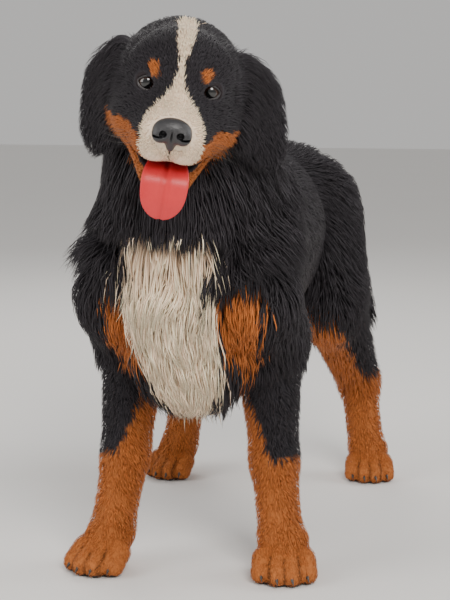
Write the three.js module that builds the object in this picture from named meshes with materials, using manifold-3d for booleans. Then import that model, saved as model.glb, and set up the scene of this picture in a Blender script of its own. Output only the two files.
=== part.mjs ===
// A Bernese mountain dog standing square, life size, in millimetres: +Z up, facing -Y, its left side on +X.
// The flesh is a set of named muscles, each a tapered round bar. Muscles that touch blend smoothly, and each
// piece of the dog is a shell cast outwards from a centre line onto the blended flesh. Long coat is built
// as flat, tapered locks rooted in the shells. Pieces are parted by thin gaps.
import * as THREE from "three";
import { mergeVertices } from "three/addons/utils/BufferGeometryUtils.js";
import Module from "manifold-3d";

const wasm = await Module();
wasm.setup();

// Driving dimensions of the animal
const WITHERS = 640; // skin height over the shoulder blades
const BODY_LENGTH = 730; // breastbone to buttock
const FRONT_STANCE = 142; // paw centre from the middle line
const HIND_STANCE = 186;
const FRONT_STEP = 12; // how far the left paw stands back, and the right one forward
const HIND_STEP = 34;
const HEAD_YAW = 13; // degrees towards the dog's left
const HEAD_PITCH = -14; // degrees, nose down
const HEAD_ROLL = 9; // degrees, left eye low
const HEAD_SIZE = 1.1; // a full-grown male's head over the sizes given below
const EYE_RADIUS = 12;
const GAP = 0.35; // clearance between neighbouring pieces
const CORE_SHARE = 0.45; // how much of the coat's depth the smooth core takes where locks cover it

const point = (x, y, z) => new THREE.Vector3(x, y, z);
const radians = THREE.MathUtils.degToRad;

// Heights and depths worked out from the driving dimensions
const BRISKET = WITHERS * 0.54;
const CHEST_FRONT = -BODY_LENGTH * 0.51;
const BUTTOCK = BODY_LENGTH * 0.485;
const ELBOW = point(107, CHEST_FRONT + 150, WITHERS * 0.57);
const WRIST = point(118, ELBOW.y - 14, WITHERS * 0.27);
const FETLOCK = point(FRONT_STANCE - 9, WRIST.y - 24, WITHERS * 0.095);
const HIP = point(80, BUTTOCK - 92, WITHERS * 0.8);
const KNEE = point(130, HIP.y - 70, WITHERS * 0.57);
const HOCK = point(160, BUTTOCK - 2, WITHERS * 0.285);
const HIND_FETLOCK = point(HIND_STANCE - 9, HOCK.y - 16, WITHERS * 0.095);
const SKULL = point(18, CHEST_FRONT - 42, WITHERS + 119);

// Muscles

// A round bar from one point to another. Wide, deep and tall stretch it along X, Y and Z; coat is the hair's depth
// on it, and coatEnd that depth at its far end.
function muscle(from, to, r0, r1, { wide = 1, deep = 1, tall = 1, blend = 22, coat = 20, coatEnd = coat } = {}) {
  const stretch = point(wide, deep, tall);
  const start = from.clone().divide(stretch);
  const along = to.clone().divide(stretch).sub(start);
  const least = Math.min(wide, deep, tall);
  const probe = point(0, 0, 0);
  const distance = (p, share) => {
    probe.copy(p).divide(stretch).sub(start);
    const t = THREE.MathUtils.clamp(probe.dot(along) / Math.max(along.lengthSq(), 1e-6), 0, 1);
    const hair = coat + (coatEnd - coat) * t;
    return (probe.addScaledVector(along, -t).length() - r0 - (r1 - r0) * t) * least - hair * share;
  };
  return { distance, blend };
}

// The same muscle on the other side of the body
const bothSides = (make) => [make(1), make(-1)];

// Distance to a set of blended muscles. Share says how much of the coat's depth is counted.
function flesh(muscles, share = 0) {
  return (p) => {
    let near = Infinity;
    for (const { distance, blend } of muscles) {
      const d = distance(p, share);
      const h = Math.max(blend - Math.abs(near - d), 0) / blend;
      near = Math.min(near, d) - (Number.isFinite(near) ? (h * h * blend) / 4 : 0);
    }
    return near;
  };
}

// A joint on one side, moved back on the left and forward on the right by a step
const at = (p, side, step = 0) => point(p.x * side, p.y + step * side, p.z);

const torsoMuscles = [
  muscle(point(0, -215, BRISKET + 134), point(0, 80, BRISKET + 156), 132, 125, { wide: 0.93, coat: 26 }),
  muscle(point(0, -225, WITHERS - 70), point(0, -60, WITHERS - 78), 68, 70, { coat: 24 }),
  muscle(point(0, 70, WITHERS - 120), point(0, 240, WITHERS - 106), 98, 98, { wide: 0.95, coat: 22 }),
  muscle(point(0, -60, BRISKET + 88), point(0, 190, BRISKET + 112), 76, 60, { wide: 1.2, coat: 40 }),
  muscle(point(0, CHEST_FRONT + 84, BRISKET + 92), point(0, CHEST_FRONT + 118, BRISKET + 34), 88, 84, {
    wide: 1.05,
    coat: 52,
  }),
  ...bothSides((s) =>
    muscle(point(46 * s, HIP.y - 15, HIP.z + 32), point(50 * s, HIP.y + 26, HIP.z - 2), 84, 70, { coat: 24 }),
  ),
  ...bothSides((s) =>
    muscle(point(72 * s, -212, WITHERS - 62), point(97 * s, CHEST_FRONT + 56, BRISKET + 96), 50, 54, { coat: 24 }),
  ),
  ...bothSides((s) =>
    muscle(point(97 * s, CHEST_FRONT + 56, BRISKET + 96), at(ELBOW, s), 52, 48, { coat: 24 }),
  ),
];

const neckMuscles = [
  muscle(point(0, -225, WITHERS - 92), point(8, SKULL.y + 62, SKULL.z - 58), 98, 74, { wide: 1.18, coat: 54, coatEnd: 30 }),
  muscle(point(2, CHEST_FRONT + 60, WITHERS - 90), point(10, SKULL.y + 40, SKULL.z - 88), 80, 56, { wide: 1.2, coat: 60, coatEnd: 44 }),
];

const forelegMuscles = (s) => [
  muscle(at(ELBOW, s), at(WRIST, s, FRONT_STEP), 46, 29, { deep: 1.12, coat: 9 }),
  muscle(at(WRIST, s, FRONT_STEP), at(FETLOCK, s, FRONT_STEP), 30, 29, { coat: 7 }),
];

const thighMuscles = (s) => [
  muscle(at(HIP, s), at(KNEE, s, HIND_STEP / 2), 94, 60, { wide: 0.82, coat: 26 }),
  muscle(point(84 * s, HIP.y + 42, HIP.z - 12), point(126 * s, HOCK.y - 44, KNEE.z - 28), 60, 40, { coat: 38 }),
];

const shankMuscles = (s) => [
  muscle(at(KNEE, s, HIND_STEP / 2), at(HOCK, s, HIND_STEP), 52, 26, { coat: 12 }),
  muscle(point(KNEE.x * s, KNEE.y + 66, KNEE.z - 20), at(HOCK, s, HIND_STEP), 38, 20, { coat: 22 }),
];

const pasternMuscles = (s) => [
  muscle(at(HOCK, s, HIND_STEP), at(HIND_FETLOCK, s, HIND_STEP), 29, 28, { coat: 7 }),
];

const tailLine = [
  point(0, BUTTOCK - 22, HIP.z + 44),
  point(-10, BUTTOCK + 38, HIP.z - 20),
  point(-34, BUTTOCK + 66, HIP.z - 150),
  point(-52, BUTTOCK + 92, HIP.z - 285),
];
const tailMuscles = [
  muscle(tailLine[0], tailLine[1], 34, 27, { coat: 18 }),
  muscle(tailLine[1], tailLine[2], 27, 22, { coat: 40 }),
  muscle(tailLine[2], tailLine[3], 22, 12, { coat: 40 }),
];

// The head in its own frame: origin in the middle of the skull, nose towards -Y
const MUZZLE_TIP = -160;
const headMuscles = [
  muscle(point(0, 26, 0), point(0, -32, 4), 72, 67, { coat: 9 }),
  muscle(point(0, -46, 22), point(0, -60, 14), 44, 38, { wide: 1.2, coat: 6 }),
  ...bothSides((s) => muscle(point(54 * s, 2, -26), point(44 * s, -62, -34), 34, 29, { coat: 14 })),
  ...bothSides((s) => muscle(point(20 * s, -64, 34), point(38 * s, -58, 34), 22, 19, { blend: 14, coat: 4 })),
  muscle(point(0, -84, -6), point(0, MUZZLE_TIP + 22, -20), 32, 25, { wide: 1.2, blend: 30, coat: 4 }),
  ...bothSides((s) => muscle(point(28 * s, -84, -32), point(19 * s, MUZZLE_TIP + 24, -34), 27, 24, { coat: 5 })),
  ...bothSides((s) => muscle(point(34 * s, -86, -48), point(22 * s, MUZZLE_TIP + 34, -46), 17, 14, { coat: 4 })),
];
const JAW_TIP = point(0, -126, -92);
const jawMuscles = [
  ...bothSides((s) => muscle(point(38 * s, -26, -56), point(18 * s, JAW_TIP.y + 14, JAW_TIP.z + 2), 23, 13, { coat: 8 })),
  muscle(point(0, -40, -70), point(0, JAW_TIP.y, JAW_TIP.z), 26, 13, { blend: 16, coat: 8 }),
];

const headPlace = new THREE.Matrix4()
  .makeRotationZ(radians(HEAD_YAW))
  .multiply(new THREE.Matrix4().makeRotationX(radians(-HEAD_PITCH)))
  .multiply(new THREE.Matrix4().makeRotationY(radians(HEAD_ROLL)))
  .scale(point(HEAD_SIZE, HEAD_SIZE, HEAD_SIZE))
  .setPosition(SKULL);

// Meshes

// Distance from a centre to the flesh's surface along a direction: steps outwards, then halves the last step.
function reach(field, centre, direction) {
  const probe = point(0, 0, 0);
  const valueAt = (t) => field(probe.copy(centre).addScaledVector(direction, t));
  let inside = 0;
  let outside = 0;
  for (let depth = valueAt(0); depth < 0; depth = valueAt(outside)) {
    inside = outside;
    outside += Math.max(-depth * 0.8, 0.5);
  }
  for (let i = 0; i < 12; i++) {
    const middle = (inside + outside) / 2;
    if (valueAt(middle) < 0) inside = middle;
    else outside = middle;
  }
  return (inside + outside) / 2;
}

// The outward normal of the flesh's surface
function outward(field, p) {
  const step = 1.5;
  const slope = (dx, dy, dz) => field(p.clone().add(point(dx, dy, dz))) - field(p.clone().sub(point(dx, dy, dz)));
  return point(slope(step, 0, 0), slope(0, step, 0), slope(0, 0, step)).normalize();
}

// A place on the flesh seen from a centre line: along runs from 0 to 1, turn is the angle round it, and lean tips
// the line of sight towards the line's ends.
function castFrom(field, line, side) {
  const curve = new THREE.CatmullRomCurve3(line, false, "centripetal");
  return (along, turn, lean = 0) => {
    const centre = curve.getPoint(along);
    const tangent = curve.getTangent(along);
    const across = side.clone().addScaledVector(tangent, -side.dot(tangent)).normalize();
    const over = tangent.clone().cross(across);
    const direction = across
      .multiplyScalar(Math.cos(turn) * Math.cos(lean))
      .addScaledVector(over, Math.sin(turn) * Math.cos(lean))
      .addScaledVector(tangent, Math.sin(lean));
    return { direction, surface: centre.clone().addScaledVector(direction, reach(field, centre, direction)) };
  };
}

// A closed shell of the flesh round a centre line: rings of vertices, domed rows at both ends, and two poles
function shell(field, line, { rings, sides, domeRows = 3, side = point(1, 0, 0) }) {
  const cast = castFrom(field, line, side);
  const rows = [];
  for (let i = 1; i <= domeRows; i++) rows.push([0, (-Math.PI / 2) * (1 - i / (domeRows + 1))]);
  for (let i = 0; i <= rings; i++) rows.push([i / rings, 0]);
  for (let i = domeRows; i >= 1; i--) rows.push([1, (Math.PI / 2) * (1 - i / (domeRows + 1))]);
  const vertices = rows.flatMap(([along, lean]) =>
    Array.from({ length: sides }, (_, k) => cast(along, (2 * Math.PI * k) / sides, lean).surface),
  );
  const faces = [];
  for (let r = 0; r + 1 < rows.length; r++) {
    for (let k = 0; k < sides; k++) faces.push(...quad(r, k, sides));
  }
  const startPole = vertices.push(cast(0, 0, -Math.PI / 2).surface) - 1;
  const endPole = vertices.push(cast(1, 0, Math.PI / 2).surface) - 1;
  const lastRow = (rows.length - 1) * sides;
  for (let k = 0; k < sides; k++) {
    const next = (k + 1) % sides;
    faces.push(startPole, next, k, endPole, lastRow + k, lastRow + next);
  }
  return geometryOf(vertices, faces);
}

// A closed flat blade along a curve, with half its width and half its thickness given along it, drawn to a tip
function blade(line, { across, width, thickness, steps, sides }) {
  const curve = new THREE.CatmullRomCurve3(line, false, "centripetal");
  const vertices = [];
  for (let i = 0; i < steps; i++) {
    const t = i / steps;
    const flat = curve.getTangent(t).cross(across).normalize();
    for (let k = 0; k < sides; k++) {
      const turn = (2 * Math.PI * k) / sides;
      vertices.push(
        curve
          .getPoint(t)
          .addScaledVector(across, Math.cos(turn) * width(t))
          .addScaledVector(flat, Math.sin(turn) * thickness(t)),
      );
    }
  }
  const faces = [];
  for (let r = 0; r + 1 < steps; r++) {
    for (let k = 0; k < sides; k++) faces.push(...quad(r, k, sides));
  }
  const tip = vertices.push(curve.getPoint(1)) - 1;
  const lastRow = (steps - 1) * sides;
  for (let k = 0; k < sides; k++) {
    faces.push(tip, lastRow + k, lastRow + ((k + 1) % sides));
    if (k > 1) faces.push(0, k, k - 1);
  }
  return geometryOf(vertices, faces);
}

// Two triangles between one row of vertices and the next
function quad(row, k, sides) {
  const next = (k + 1) % sides;
  const [a, b, c, d] = [row * sides + k, row * sides + next, (row + 1) * sides + next, (row + 1) * sides + k];
  return [a, b, c, a, c, d];
}

function geometryOf(vertices, faces) {
  return new THREE.BufferGeometry().setFromPoints(vertices).setIndex(faces);
}

// Solids

// A closed geometry as a solid that can be joined and cut
function solid(geometry, matrix = new THREE.Matrix4()) {
  const bare = geometry.clone().applyMatrix4(matrix);
  bare.deleteAttribute("normal");
  bare.deleteAttribute("uv");
  const merged = mergeVertices(bare, 1e-3);
  const made = new wasm.Manifold(
    new wasm.Mesh({
      numProp: 3,
      vertProperties: merged.attributes.position.array,
      triVerts: new Uint32Array(merged.index.array),
    }),
  );
  if (made.volume() < 0) throw new Error("a shape faces inwards");
  return made;
}

const joined = (solids) => solids.reduce((a, b) => a.add(b));

// The largest closed body, with any scrap that a cut left loose dropped
const largest = (made) => made.decompose().reduce((a, b) => (a.volume() > b.volume() ? a : b));

function meshOf(name, made, material) {
  const { numProp, vertProperties, triVerts } = largest(made).getMesh();
  const vertices = [];
  for (let i = 0; i < vertProperties.length; i += numProp) vertices.push(point(...vertProperties.subarray(i, i + 3)));
  const geometry = geometryOf(vertices, [...triVerts]);
  geometry.computeVertexNormals();
  const mesh = new THREE.Mesh(geometry, material);
  mesh.name = name;
  return mesh;
}

// A ball stretched along its own axes
function ball(centre, radii, widthSegments = 12, heightSegments = 8) {
  const matrix = new THREE.Matrix4().makeScale(...radii).setPosition(centre);
  return solid(new THREE.SphereGeometry(1, widthSegments, heightSegments), matrix);
}

// Everything under the floor, cut from the paws so that they stand flat
const belowFloor = solid(new THREE.BoxGeometry(3000, 3000, 200).translate(0, 0, -100));

// Materials
const coatMaterial = (color) => new THREE.MeshStandardMaterial({ color, roughness: 0.75, metalness: 0 });
const blackCoat = coatMaterial(0x3a383d);
const rustCoat = coatMaterial(0xb8723e);
const creamCoat = coatMaterial(0xf2d9c3);
const leather = new THREE.MeshStandardMaterial({ color: 0x2b292d, roughness: 0.35, metalness: 0 });
const eyeGloss = new THREE.MeshStandardMaterial({ color: 0x1a100b, roughness: 0.08, metalness: 0 });
const tongueSkin = new THREE.MeshStandardMaterial({ color: 0xd94a4a, roughness: 0.45, metalness: 0 });

// Long coat

const ROOT_DEPTH = 9; // how far a lock's root is sunk into the core
let seed = 11;
function chance(low, high) {
  seed = (seed * 1664525 + 1013904223) % 4294967296;
  return low + ((high - low) * seed) / 4294967296;
}

// The lie of a lock on a core: from its sunk root it follows the flow over the surface, rising towards its tip
function lieOn(field, root, { flow, length, depth }) {
  const normal = outward(field, root);
  const line = [root.clone().addScaledVector(normal, -ROOT_DEPTH)];
  const place = root.clone();
  for (const rise of [0.45, 0.8, 1]) {
    const along = flow(place).addScaledVector(normal, -0.75 * flow(place).dot(normal)).normalize();
    place.addScaledVector(along, length / 3);
    normal.copy(outward(field, place));
    const short = depth * rise - field(place);
    place.addScaledVector(normal, short > 0 ? short : short * 0.5);
    line.push(place.clone());
  }
  return { line, across: line[3].clone().sub(line[0]).cross(normal).normalize() };
}

// A lock is a flat blade along its lie, widest near its middle and drawn to a point
function lock({ line, across, width }, grow) {
  const shape = {
    across,
    width: (t) => width * (0.72 + 0.95 * t - 1.35 * t * t) + grow,
    thickness: (t) => width * 0.3 * (1 - 0.45 * t) + grow,
    steps: 3,
    sides: 4,
  };
  const end = line[3].clone().sub(line[2]).setLength(grow * 4);
  return solid(blade([...line.slice(0, 3), line[3].clone().add(end)], shape));
}

// Rows of locks over a core, each row staggered on the one before. A row says where it runs along the centre line,
// its lean, how many locks it has and the turns between which they stand. Locks lie over the bed, which is the core
// with its neighbours. Locks rooted too near a neighbour are left out.
function rowsOfLocks(field, line, rows, { bed = wholeCore, flow, length, width, depth, clearOf = [] }) {
  const cast = castFrom(field, line, point(1, 0, 0));
  const lies = [];
  rows.forEach(({ along, lean = 0, count, turns = [0, 360] }, row) => {
    for (let i = 0; i < count; i++) {
      const share = (i + (row % 2) / 2 + chance(0.1, 0.4)) / count;
      const root = cast(Math.min(Math.max(along + chance(-0.02, 0.02), 0), 1), radians(turns[0] + (turns[1] - turns[0]) * share), lean).surface;
      if (clearOf.some(([near, room]) => near(root) < room)) continue;
      const size = chance(0.85, 1.15);
      const lie = lieOn(bed, root, { flow, length: length * size, depth: depth(root) });
      lies.push({ ...lie, width: width * chance(0.85, 1.15) });
    }
  });
  return lies;
}

// A core with its locks, at a growth
const coated = (core, lies) => (grow) => joined([core(CORE_SHARE, grow), ...lies.map((lie) => lock(lie, grow))]);

// Pieces. Each maker takes how much of the coat's depth its core has, and how far it is grown, so that a grown
// copy can cut its neighbours clear.

const grown = (field, amount) => (p) => field(p) - amount;
const piece = (muscles, line, counts, place) => (share, grow) =>
  solid(shell(grown(flesh(muscles, share), grow), line, counts), place);

const torsoLine = [point(0, CHEST_FRONT + 105, 452), point(0, -100, 500), point(0, 120, 520), point(0, HIP.y, 525)];
const torso = piece(torsoMuscles, torsoLine, { rings: 13, sides: 18, domeRows: 2 });

const neckLine = [point(0, -255, WITHERS - 110), point(4, -330, WITHERS - 55), point(8, SKULL.y + 50, SKULL.z - 50)];
const neck = piece(neckMuscles, neckLine, { rings: 4, sides: 16, domeRows: 1 });

const tail = piece(tailMuscles, tailLine, { rings: 6, sides: 8, domeRows: 1 });

const skullLine = [point(0, 40, -4), point(0, -60, -2), point(0, MUZZLE_TIP + 30, -28)];
const head = piece(headMuscles, skullLine, { rings: 17, sides: 20, domeRows: 2 }, headPlace);

const jawLine = [point(0, -36, -66), point(0, JAW_TIP.y + 8, JAW_TIP.z + 2)];
const jaw = piece(jawMuscles, jawLine, { rings: 6, sides: 12, domeRows: 2 }, headPlace);

// The tongue lies on the jaw and hangs over its edge, broad to near its rounded end
const tongueLine = [
  point(0, -64, -72),
  point(0, -124, -73),
  point(0, -147, -84),
  point(0, -153, -110),
  point(0, -152, -132),
];
const tongue = (grow) =>
  solid(
    blade(tongueLine, {
      across: point(1, 0, 0),
      width: (t) => (22 + 9 * t) * Math.sqrt(1 - Math.max(t - 0.72, 0) ** 2 / 0.08) + grow,
      thickness: (t) => 6 - 2 * t + grow,
      steps: 9,
      sides: 10,
    }),
    headPlace,
  );

const foreleg = (s) =>
  piece(forelegMuscles(s), [at(ELBOW, s), at(WRIST, s, FRONT_STEP), at(FETLOCK, s, FRONT_STEP)], { rings: 4, sides: 8, domeRows: 1 });
const thigh = (s) => piece(thighMuscles(s), [at(HIP, s), at(KNEE, s, HIND_STEP / 2)], { rings: 5, sides: 12, domeRows: 2 });
const shank = (s) => piece(shankMuscles(s), [at(KNEE, s, HIND_STEP / 2), at(HOCK, s, HIND_STEP)], { rings: 4, sides: 8, domeRows: 1 });
const pastern = (s) =>
  piece(pasternMuscles(s), [at(HOCK, s, HIND_STEP), at(HIND_FETLOCK, s, HIND_STEP)], { rings: 2, sides: 8, domeRows: 1 });

// A paw with its origin on the floor and its toes towards -Y: a pad, four toes and their claws, cut flat below
const TOES = [-1.5, -0.5, 0.5, 1.5];
const toeMuscle = (i) =>
  muscle(point(20 * i, -14 + 3 * i * i, 30), point(23 * i, -50 + 7 * i * i, 15), 18, 16, { coat: 2 });
const padMuscle = muscle(point(0, 22, 50), point(0, -8, 24), 29, 27, { wide: 1.25, coat: 4 });

function paw(place, grow) {
  const pad = piece([padMuscle], [point(0, 20, 46), point(0, -8, 26)], { rings: 2, sides: 10, domeRows: 1 }, place);
  const toes = TOES.map((i) => {
    const line = [point(20 * i, -14 + 3 * i * i, 30), point(23 * i, -50 + 7 * i * i, 15)];
    return piece([toeMuscle(i)], line, { rings: 1, sides: 6, domeRows: 1 }, place)(1, grow);
  });
  const claws = TOES.map((i) => {
    const claw = new THREE.ConeGeometry(4 + grow, 20, 4).rotateX(radians(-112)).rotateZ(radians(4 * i));
    return solid(claw.translate(24 * i, -71 + 7 * i * i, 12), place);
  });
  return joined([pad(1, grow), ...toes, ...claws]).subtract(belowFloor);
}

const standing = (x, y, turn, scale) =>
  new THREE.Matrix4().makeRotationZ(radians(turn)).scale(point(scale, scale, 1)).setPosition(x, y, 0);
const frontPawPlace = (s) => standing(FRONT_STANCE * s, FETLOCK.y - 16 + FRONT_STEP * s, 12 * s, 1);
const hindPawPlace = (s) => standing(HIND_STANCE * s, HIND_FETLOCK.y - 16 + HIND_STEP * s, 10 * s, 0.92);

// An ear in its own frame, hung from the origin: a flat flap, thin along X, with its inner side hollowed to a cup
const earMuscles = [
  muscle(point(0, 2, -4), point(0, 0, -46), 16, 42, { wide: 0.3, coat: 2, coatEnd: 3 }),
  muscle(point(0, 0, -46), point(0, 6, -92), 42, 20, { wide: 0.26, coat: 3, coatEnd: 8 }),
];
const earLine = [point(0, 2, -4), point(0, 0, -46), point(0, 6, -86)];
const EAR_FLARE = 18; // degrees out from the plumb line, so both ears hang by their own weight
const earPlace = (s) =>
  headPlace
    .clone()
    .multiply(new THREE.Matrix4().makeTranslation(76 * s, -2, 24))
    .multiply(new THREE.Matrix4().makeRotationY(radians(-EAR_FLARE * s - HEAD_ROLL)))
    .multiply(new THREE.Matrix4().makeRotationZ(radians(-34 * s)));
const ear = (s) => piece(earMuscles, earLine, { rings: 5, sides: 10, domeRows: 1 }, earPlace(s));
const earCup = (s) => ball(point(-17 * s, -2, -46), [13, 28, 34], 10, 6).transform(earPlace(s).elements);

// Eyes sit in sockets behind lids, each lid a cap over the eyeball with an almond opening
const EYE_SPREAD = 39;
const EYE_HEIGHT = 18;
const faceStart = point(EYE_SPREAD, -40, EYE_HEIGHT);
const EYE = faceStart.addScaledVector(point(0, -1, 0), reach(flesh(headMuscles, 0), faceStart, point(0, -1, 0)) - 9);
const eyeAt = (s) => point(EYE.x * s, EYE.y, EYE.z);
const inHead = (made) => made.transform(headPlace.elements);
const eyeball = (s) => inHead(ball(eyeAt(s), [EYE_RADIUS, EYE_RADIUS, EYE_RADIUS], 12, 8));
const socket = (s) => {
  const room = EYE_RADIUS + GAP;
  const opening = ball(eyeAt(s).add(point(4 * s, -EYE_RADIUS, 0)), [12.5, 13, 8.5], 10, 6);
  return inHead(ball(eyeAt(s), [room, room, room]).add(opening));
};
const lids = (s) => inHead(ball(eyeAt(s), [EYE_RADIUS + 3.2, EYE_RADIUS + 2.6, EYE_RADIUS + 1.2], 12, 8));

// The nose leather: a broad ball over a narrower one, with a nostril bored on each side and a groove below
const NOSE = point(0, MUZZLE_TIP - 4, -18);
const nose = () => {
  const leatherBody = ball(NOSE, [24, 15, 17], 12, 6).add(ball(point(0, NOSE.y + 1, NOSE.z - 14), [11, 12, 14], 8, 5));
  const nostrils = bothSides((s) => ball(point(10.5 * s, NOSE.y - 13, NOSE.z - 2), [4.6, 9, 4.4], 6, 5));
  const slits = bothSides((s) => ball(point(17 * s, NOSE.y - 9, NOSE.z - 5), [7, 6, 1.8], 6, 4));
  const groove = ball(point(0, NOSE.y - 15, NOSE.z - 16), [1.6, 5, 15], 6, 6);
  return inHead(leatherBody.subtract(joined([...nostrils, ...slits, groove])));
};

// Locks of each piece. The flow is the way the hair lies there, before it is laid on the surface.
const covered = (muscles) => flesh(muscles, CORE_SHARE);
const wholeCore = covered([
  ...torsoMuscles,
  ...neckMuscles,
  ...bothSides(forelegMuscles).flat(),
  ...bothSides(thighMuscles).flat(),
  ...bothSides(shankMuscles).flat(),
]);
const torsoCore = covered(torsoMuscles);
const neckCore = covered(neckMuscles);
const headWhole = (p) => flesh(headMuscles, 1)(p.clone().applyMatrix4(headPlace.clone().invert())) * HEAD_SIZE;
const thighWhole = (s) => flesh(thighMuscles(s), CORE_SHARE);
const forelegWhole = (s) => flesh(forelegMuscles(s), 1);

const torsoLocks = rowsOfLocks(
  torsoCore,
  torsoLine,
  [
    { along: 0, lean: -1.15, count: 4 },
    { along: 0, lean: -0.72, count: 8 },
    { along: 0, lean: -0.3, count: 10 },
    { along: 0.06, count: 11 },
    { along: 0.26, count: 10 },
    { along: 0.46, count: 10 },
    { along: 0.66, count: 10 },
    { along: 0.86, count: 10 },
  ],
  {
    flow: (p) => point(0, THREE.MathUtils.mapLinear(p.y, -400, 0, -0.1, 1.5), -1),
    length: 122,
    width: 30,
    depth: (p) => THREE.MathUtils.mapLinear(p.z, 600, 350, 12, 30),
    clearOf: [
      [neckCore, 40],
      [thighWhole(1), 26],
      [thighWhole(-1), 26],
      [forelegWhole(1), 26],
      [forelegWhole(-1), 26],
    ],
  },
);

const neckLocks = rowsOfLocks(
  neckCore,
  neckLine,
  [
    { along: 0.02, count: 14 },
    { along: 0.4, count: 13 },
    { along: 0.78, count: 12 },
  ],
  {
    flow: () => point(0, 0.42, -1),
    length: 122,
    width: 32,
    depth: () => 26,
    clearOf: [
      [headWhole, 4],
      [torsoCore, -6],
    ],
  },
);

const tailLocks = rowsOfLocks(
  covered(tailMuscles),
  tailLine,
  [0.3, 0.5, 0.7, 0.9].map((along) => ({ along, count: 5 })),
  {
    bed: covered(tailMuscles),
    flow: () => point(-0.12, 0.34, -1),
    length: 110,
    width: 21,
    depth: () => 20,
    clearOf: [[torsoCore, 20]],
  },
);

// The outer and hinder sides of a leg, as turns round its centre line
const OUTER_TO_HIND = { 1: [-125, 50], [-1]: [130, 305] };
const thighLocks = (s) =>
  rowsOfLocks(
    covered(thighMuscles(s)),
    [at(HIP, s), at(KNEE, s, HIND_STEP / 2)],
    [
      { along: 0.15, count: 4, turns: OUTER_TO_HIND[s] },
      { along: 0.55, count: 5, turns: OUTER_TO_HIND[s] },
      { along: 0.98, count: 5, turns: OUTER_TO_HIND[s] },
    ],
    {
      flow: () => point(0, 0.5, -1),
      length: 108,
      width: 27,
      depth: () => 18,
      clearOf: [
        [torsoCore, 6],
        [covered(tailMuscles), 22],
      ],
    },
  );

// Fringes down the backs of the forelegs
const forelegLocks = (s) =>
  rowsOfLocks(
    covered(forelegMuscles(s)),
    [at(ELBOW, s), at(WRIST, s, FRONT_STEP)],
    [0.35, 0.58, 0.8].map((along) => ({ along, count: 2, turns: [235, 300] })),
    { flow: () => point(0, 0.5, -1), length: 64, width: 14, depth: () => 14 },
  );

// Fringes round the ears' lower edges, in the ear's own frame
const earLocks = (s) =>
  rowsOfLocks(
    covered(earMuscles),
    earLine,
    [
      { along: 0.75, count: 2, turns: [s > 0 ? -60 : 120, s > 0 ? 60 : 240] },
      { along: 1, count: 4, turns: [0, 360] },
    ],
    { bed: covered(earMuscles), flow: (p) => point(0, p.y * 0.008, -1), length: 46, width: 14, depth: () => 3 },
  );

const bodies = {
  torso: coated(torso, torsoLocks),
  neck: coated(neck, neckLocks),
  tail: coated(tail, tailLocks),
};
for (const s of [1, -1]) {
  bodies[`thigh${s}`] = coated(thigh(s), thighLocks(s));
  bodies[`foreleg${s}`] = coated(foreleg(s), forelegLocks(s));
  const fringe = earLocks(s);
  bodies[`ear${s}`] = (grow) =>
    joined([ear(s)(1, grow), ...fringe.map((lie) => lock(lie, grow).transform(earPlace(s).elements))]);
}

// Assembly: each piece is cut clear of the ones before it
const dog = new THREE.Group();
const add = (name, made, material) => dog.add(meshOf(name, made, material));
const SIDES = [
  ["left", 1],
  ["right", -1],
];

const torsoGrown = bodies.torso(GAP);
const headGrown = head(1, GAP);
const jawGrown = jaw(1, GAP);
const neckGrown = bodies.neck(GAP);
const tailGrown = bodies.tail(GAP);
const sockets = joined(bothSides(socket));
const earsGrown = joined(bothSides((s) => bodies[`ear${s}`](GAP)));

add("torso", bodies.torso(0), blackCoat);
add("head", head(1, 0).add(joined(bothSides(lids))).subtract(sockets), blackCoat);
add("lower_jaw", jaw(1, 0).subtract(headGrown).subtract(tongue(GAP)), rustCoat);
add("tongue", tongue(0).subtract(headGrown), tongueSkin);
add("nose", nose().subtract(headGrown), leather);
add("neck", bodies.neck(0).subtract(torsoGrown).subtract(headGrown).subtract(jawGrown).subtract(earsGrown), blackCoat);
add("tail", bodies.tail(0).subtract(torsoGrown), blackCoat);

for (const [name, s] of SIDES) {
  const forepaw = paw(frontPawPlace(s), GAP);
  const hindPaw = paw(hindPawPlace(s), GAP);
  const thighGrown = bodies[`thigh${s}`](GAP);
  add(`eye_${name}`, eyeball(s), eyeGloss);
  add(`ear_${name}`, bodies[`ear${s}`](0).subtract(earCup(s)).subtract(headGrown).subtract(jawGrown), blackCoat);
  add(`forepaw_${name}`, paw(frontPawPlace(s), 0), rustCoat);
  add(`foreleg_${name}`, bodies[`foreleg${s}`](0).subtract(torsoGrown).subtract(forepaw), rustCoat);
  add(`thigh_${name}`, bodies[`thigh${s}`](0).subtract(torsoGrown).subtract(tailGrown), blackCoat);
  add(`shank_${name}`, shank(s)(1, 0).subtract(torsoGrown).subtract(thighGrown).subtract(tailGrown), rustCoat);
  add(`hind_pastern_${name}`, pastern(s)(1, 0).subtract(shank(s)(1, GAP)).subtract(hindPaw), rustCoat);
  add(`hind_paw_${name}`, paw(hindPawPlace(s), 0), rustCoat);
}

// The frame's origin is on the floor, under the middle of the whole
const bounds = new THREE.Box3().setFromObject(dog);
const middle = bounds.getCenter(point(0, 0, 0));
for (const mesh of dog.children) mesh.geometry.translate(-middle.x, -middle.y, 0);

export default dog;
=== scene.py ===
"""A standing long-haired mountain dog, life size: skin, coat, face, claws and a plain studio.

The flesh is a set of named muscles, each a tapered round bar in millimetres, and the skin is the surface of
the blended muscles. The coat is tufts of solid mesh that root in the skin and follow the lie of the hair.
"""
import math

import bpy
import numpy as np
import openvdb
from bpy.props import FloatProperty, FloatVectorProperty, IntProperty, PointerProperty
from mathutils import Matrix, Vector
from mathutils.kdtree import KDTree


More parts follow.
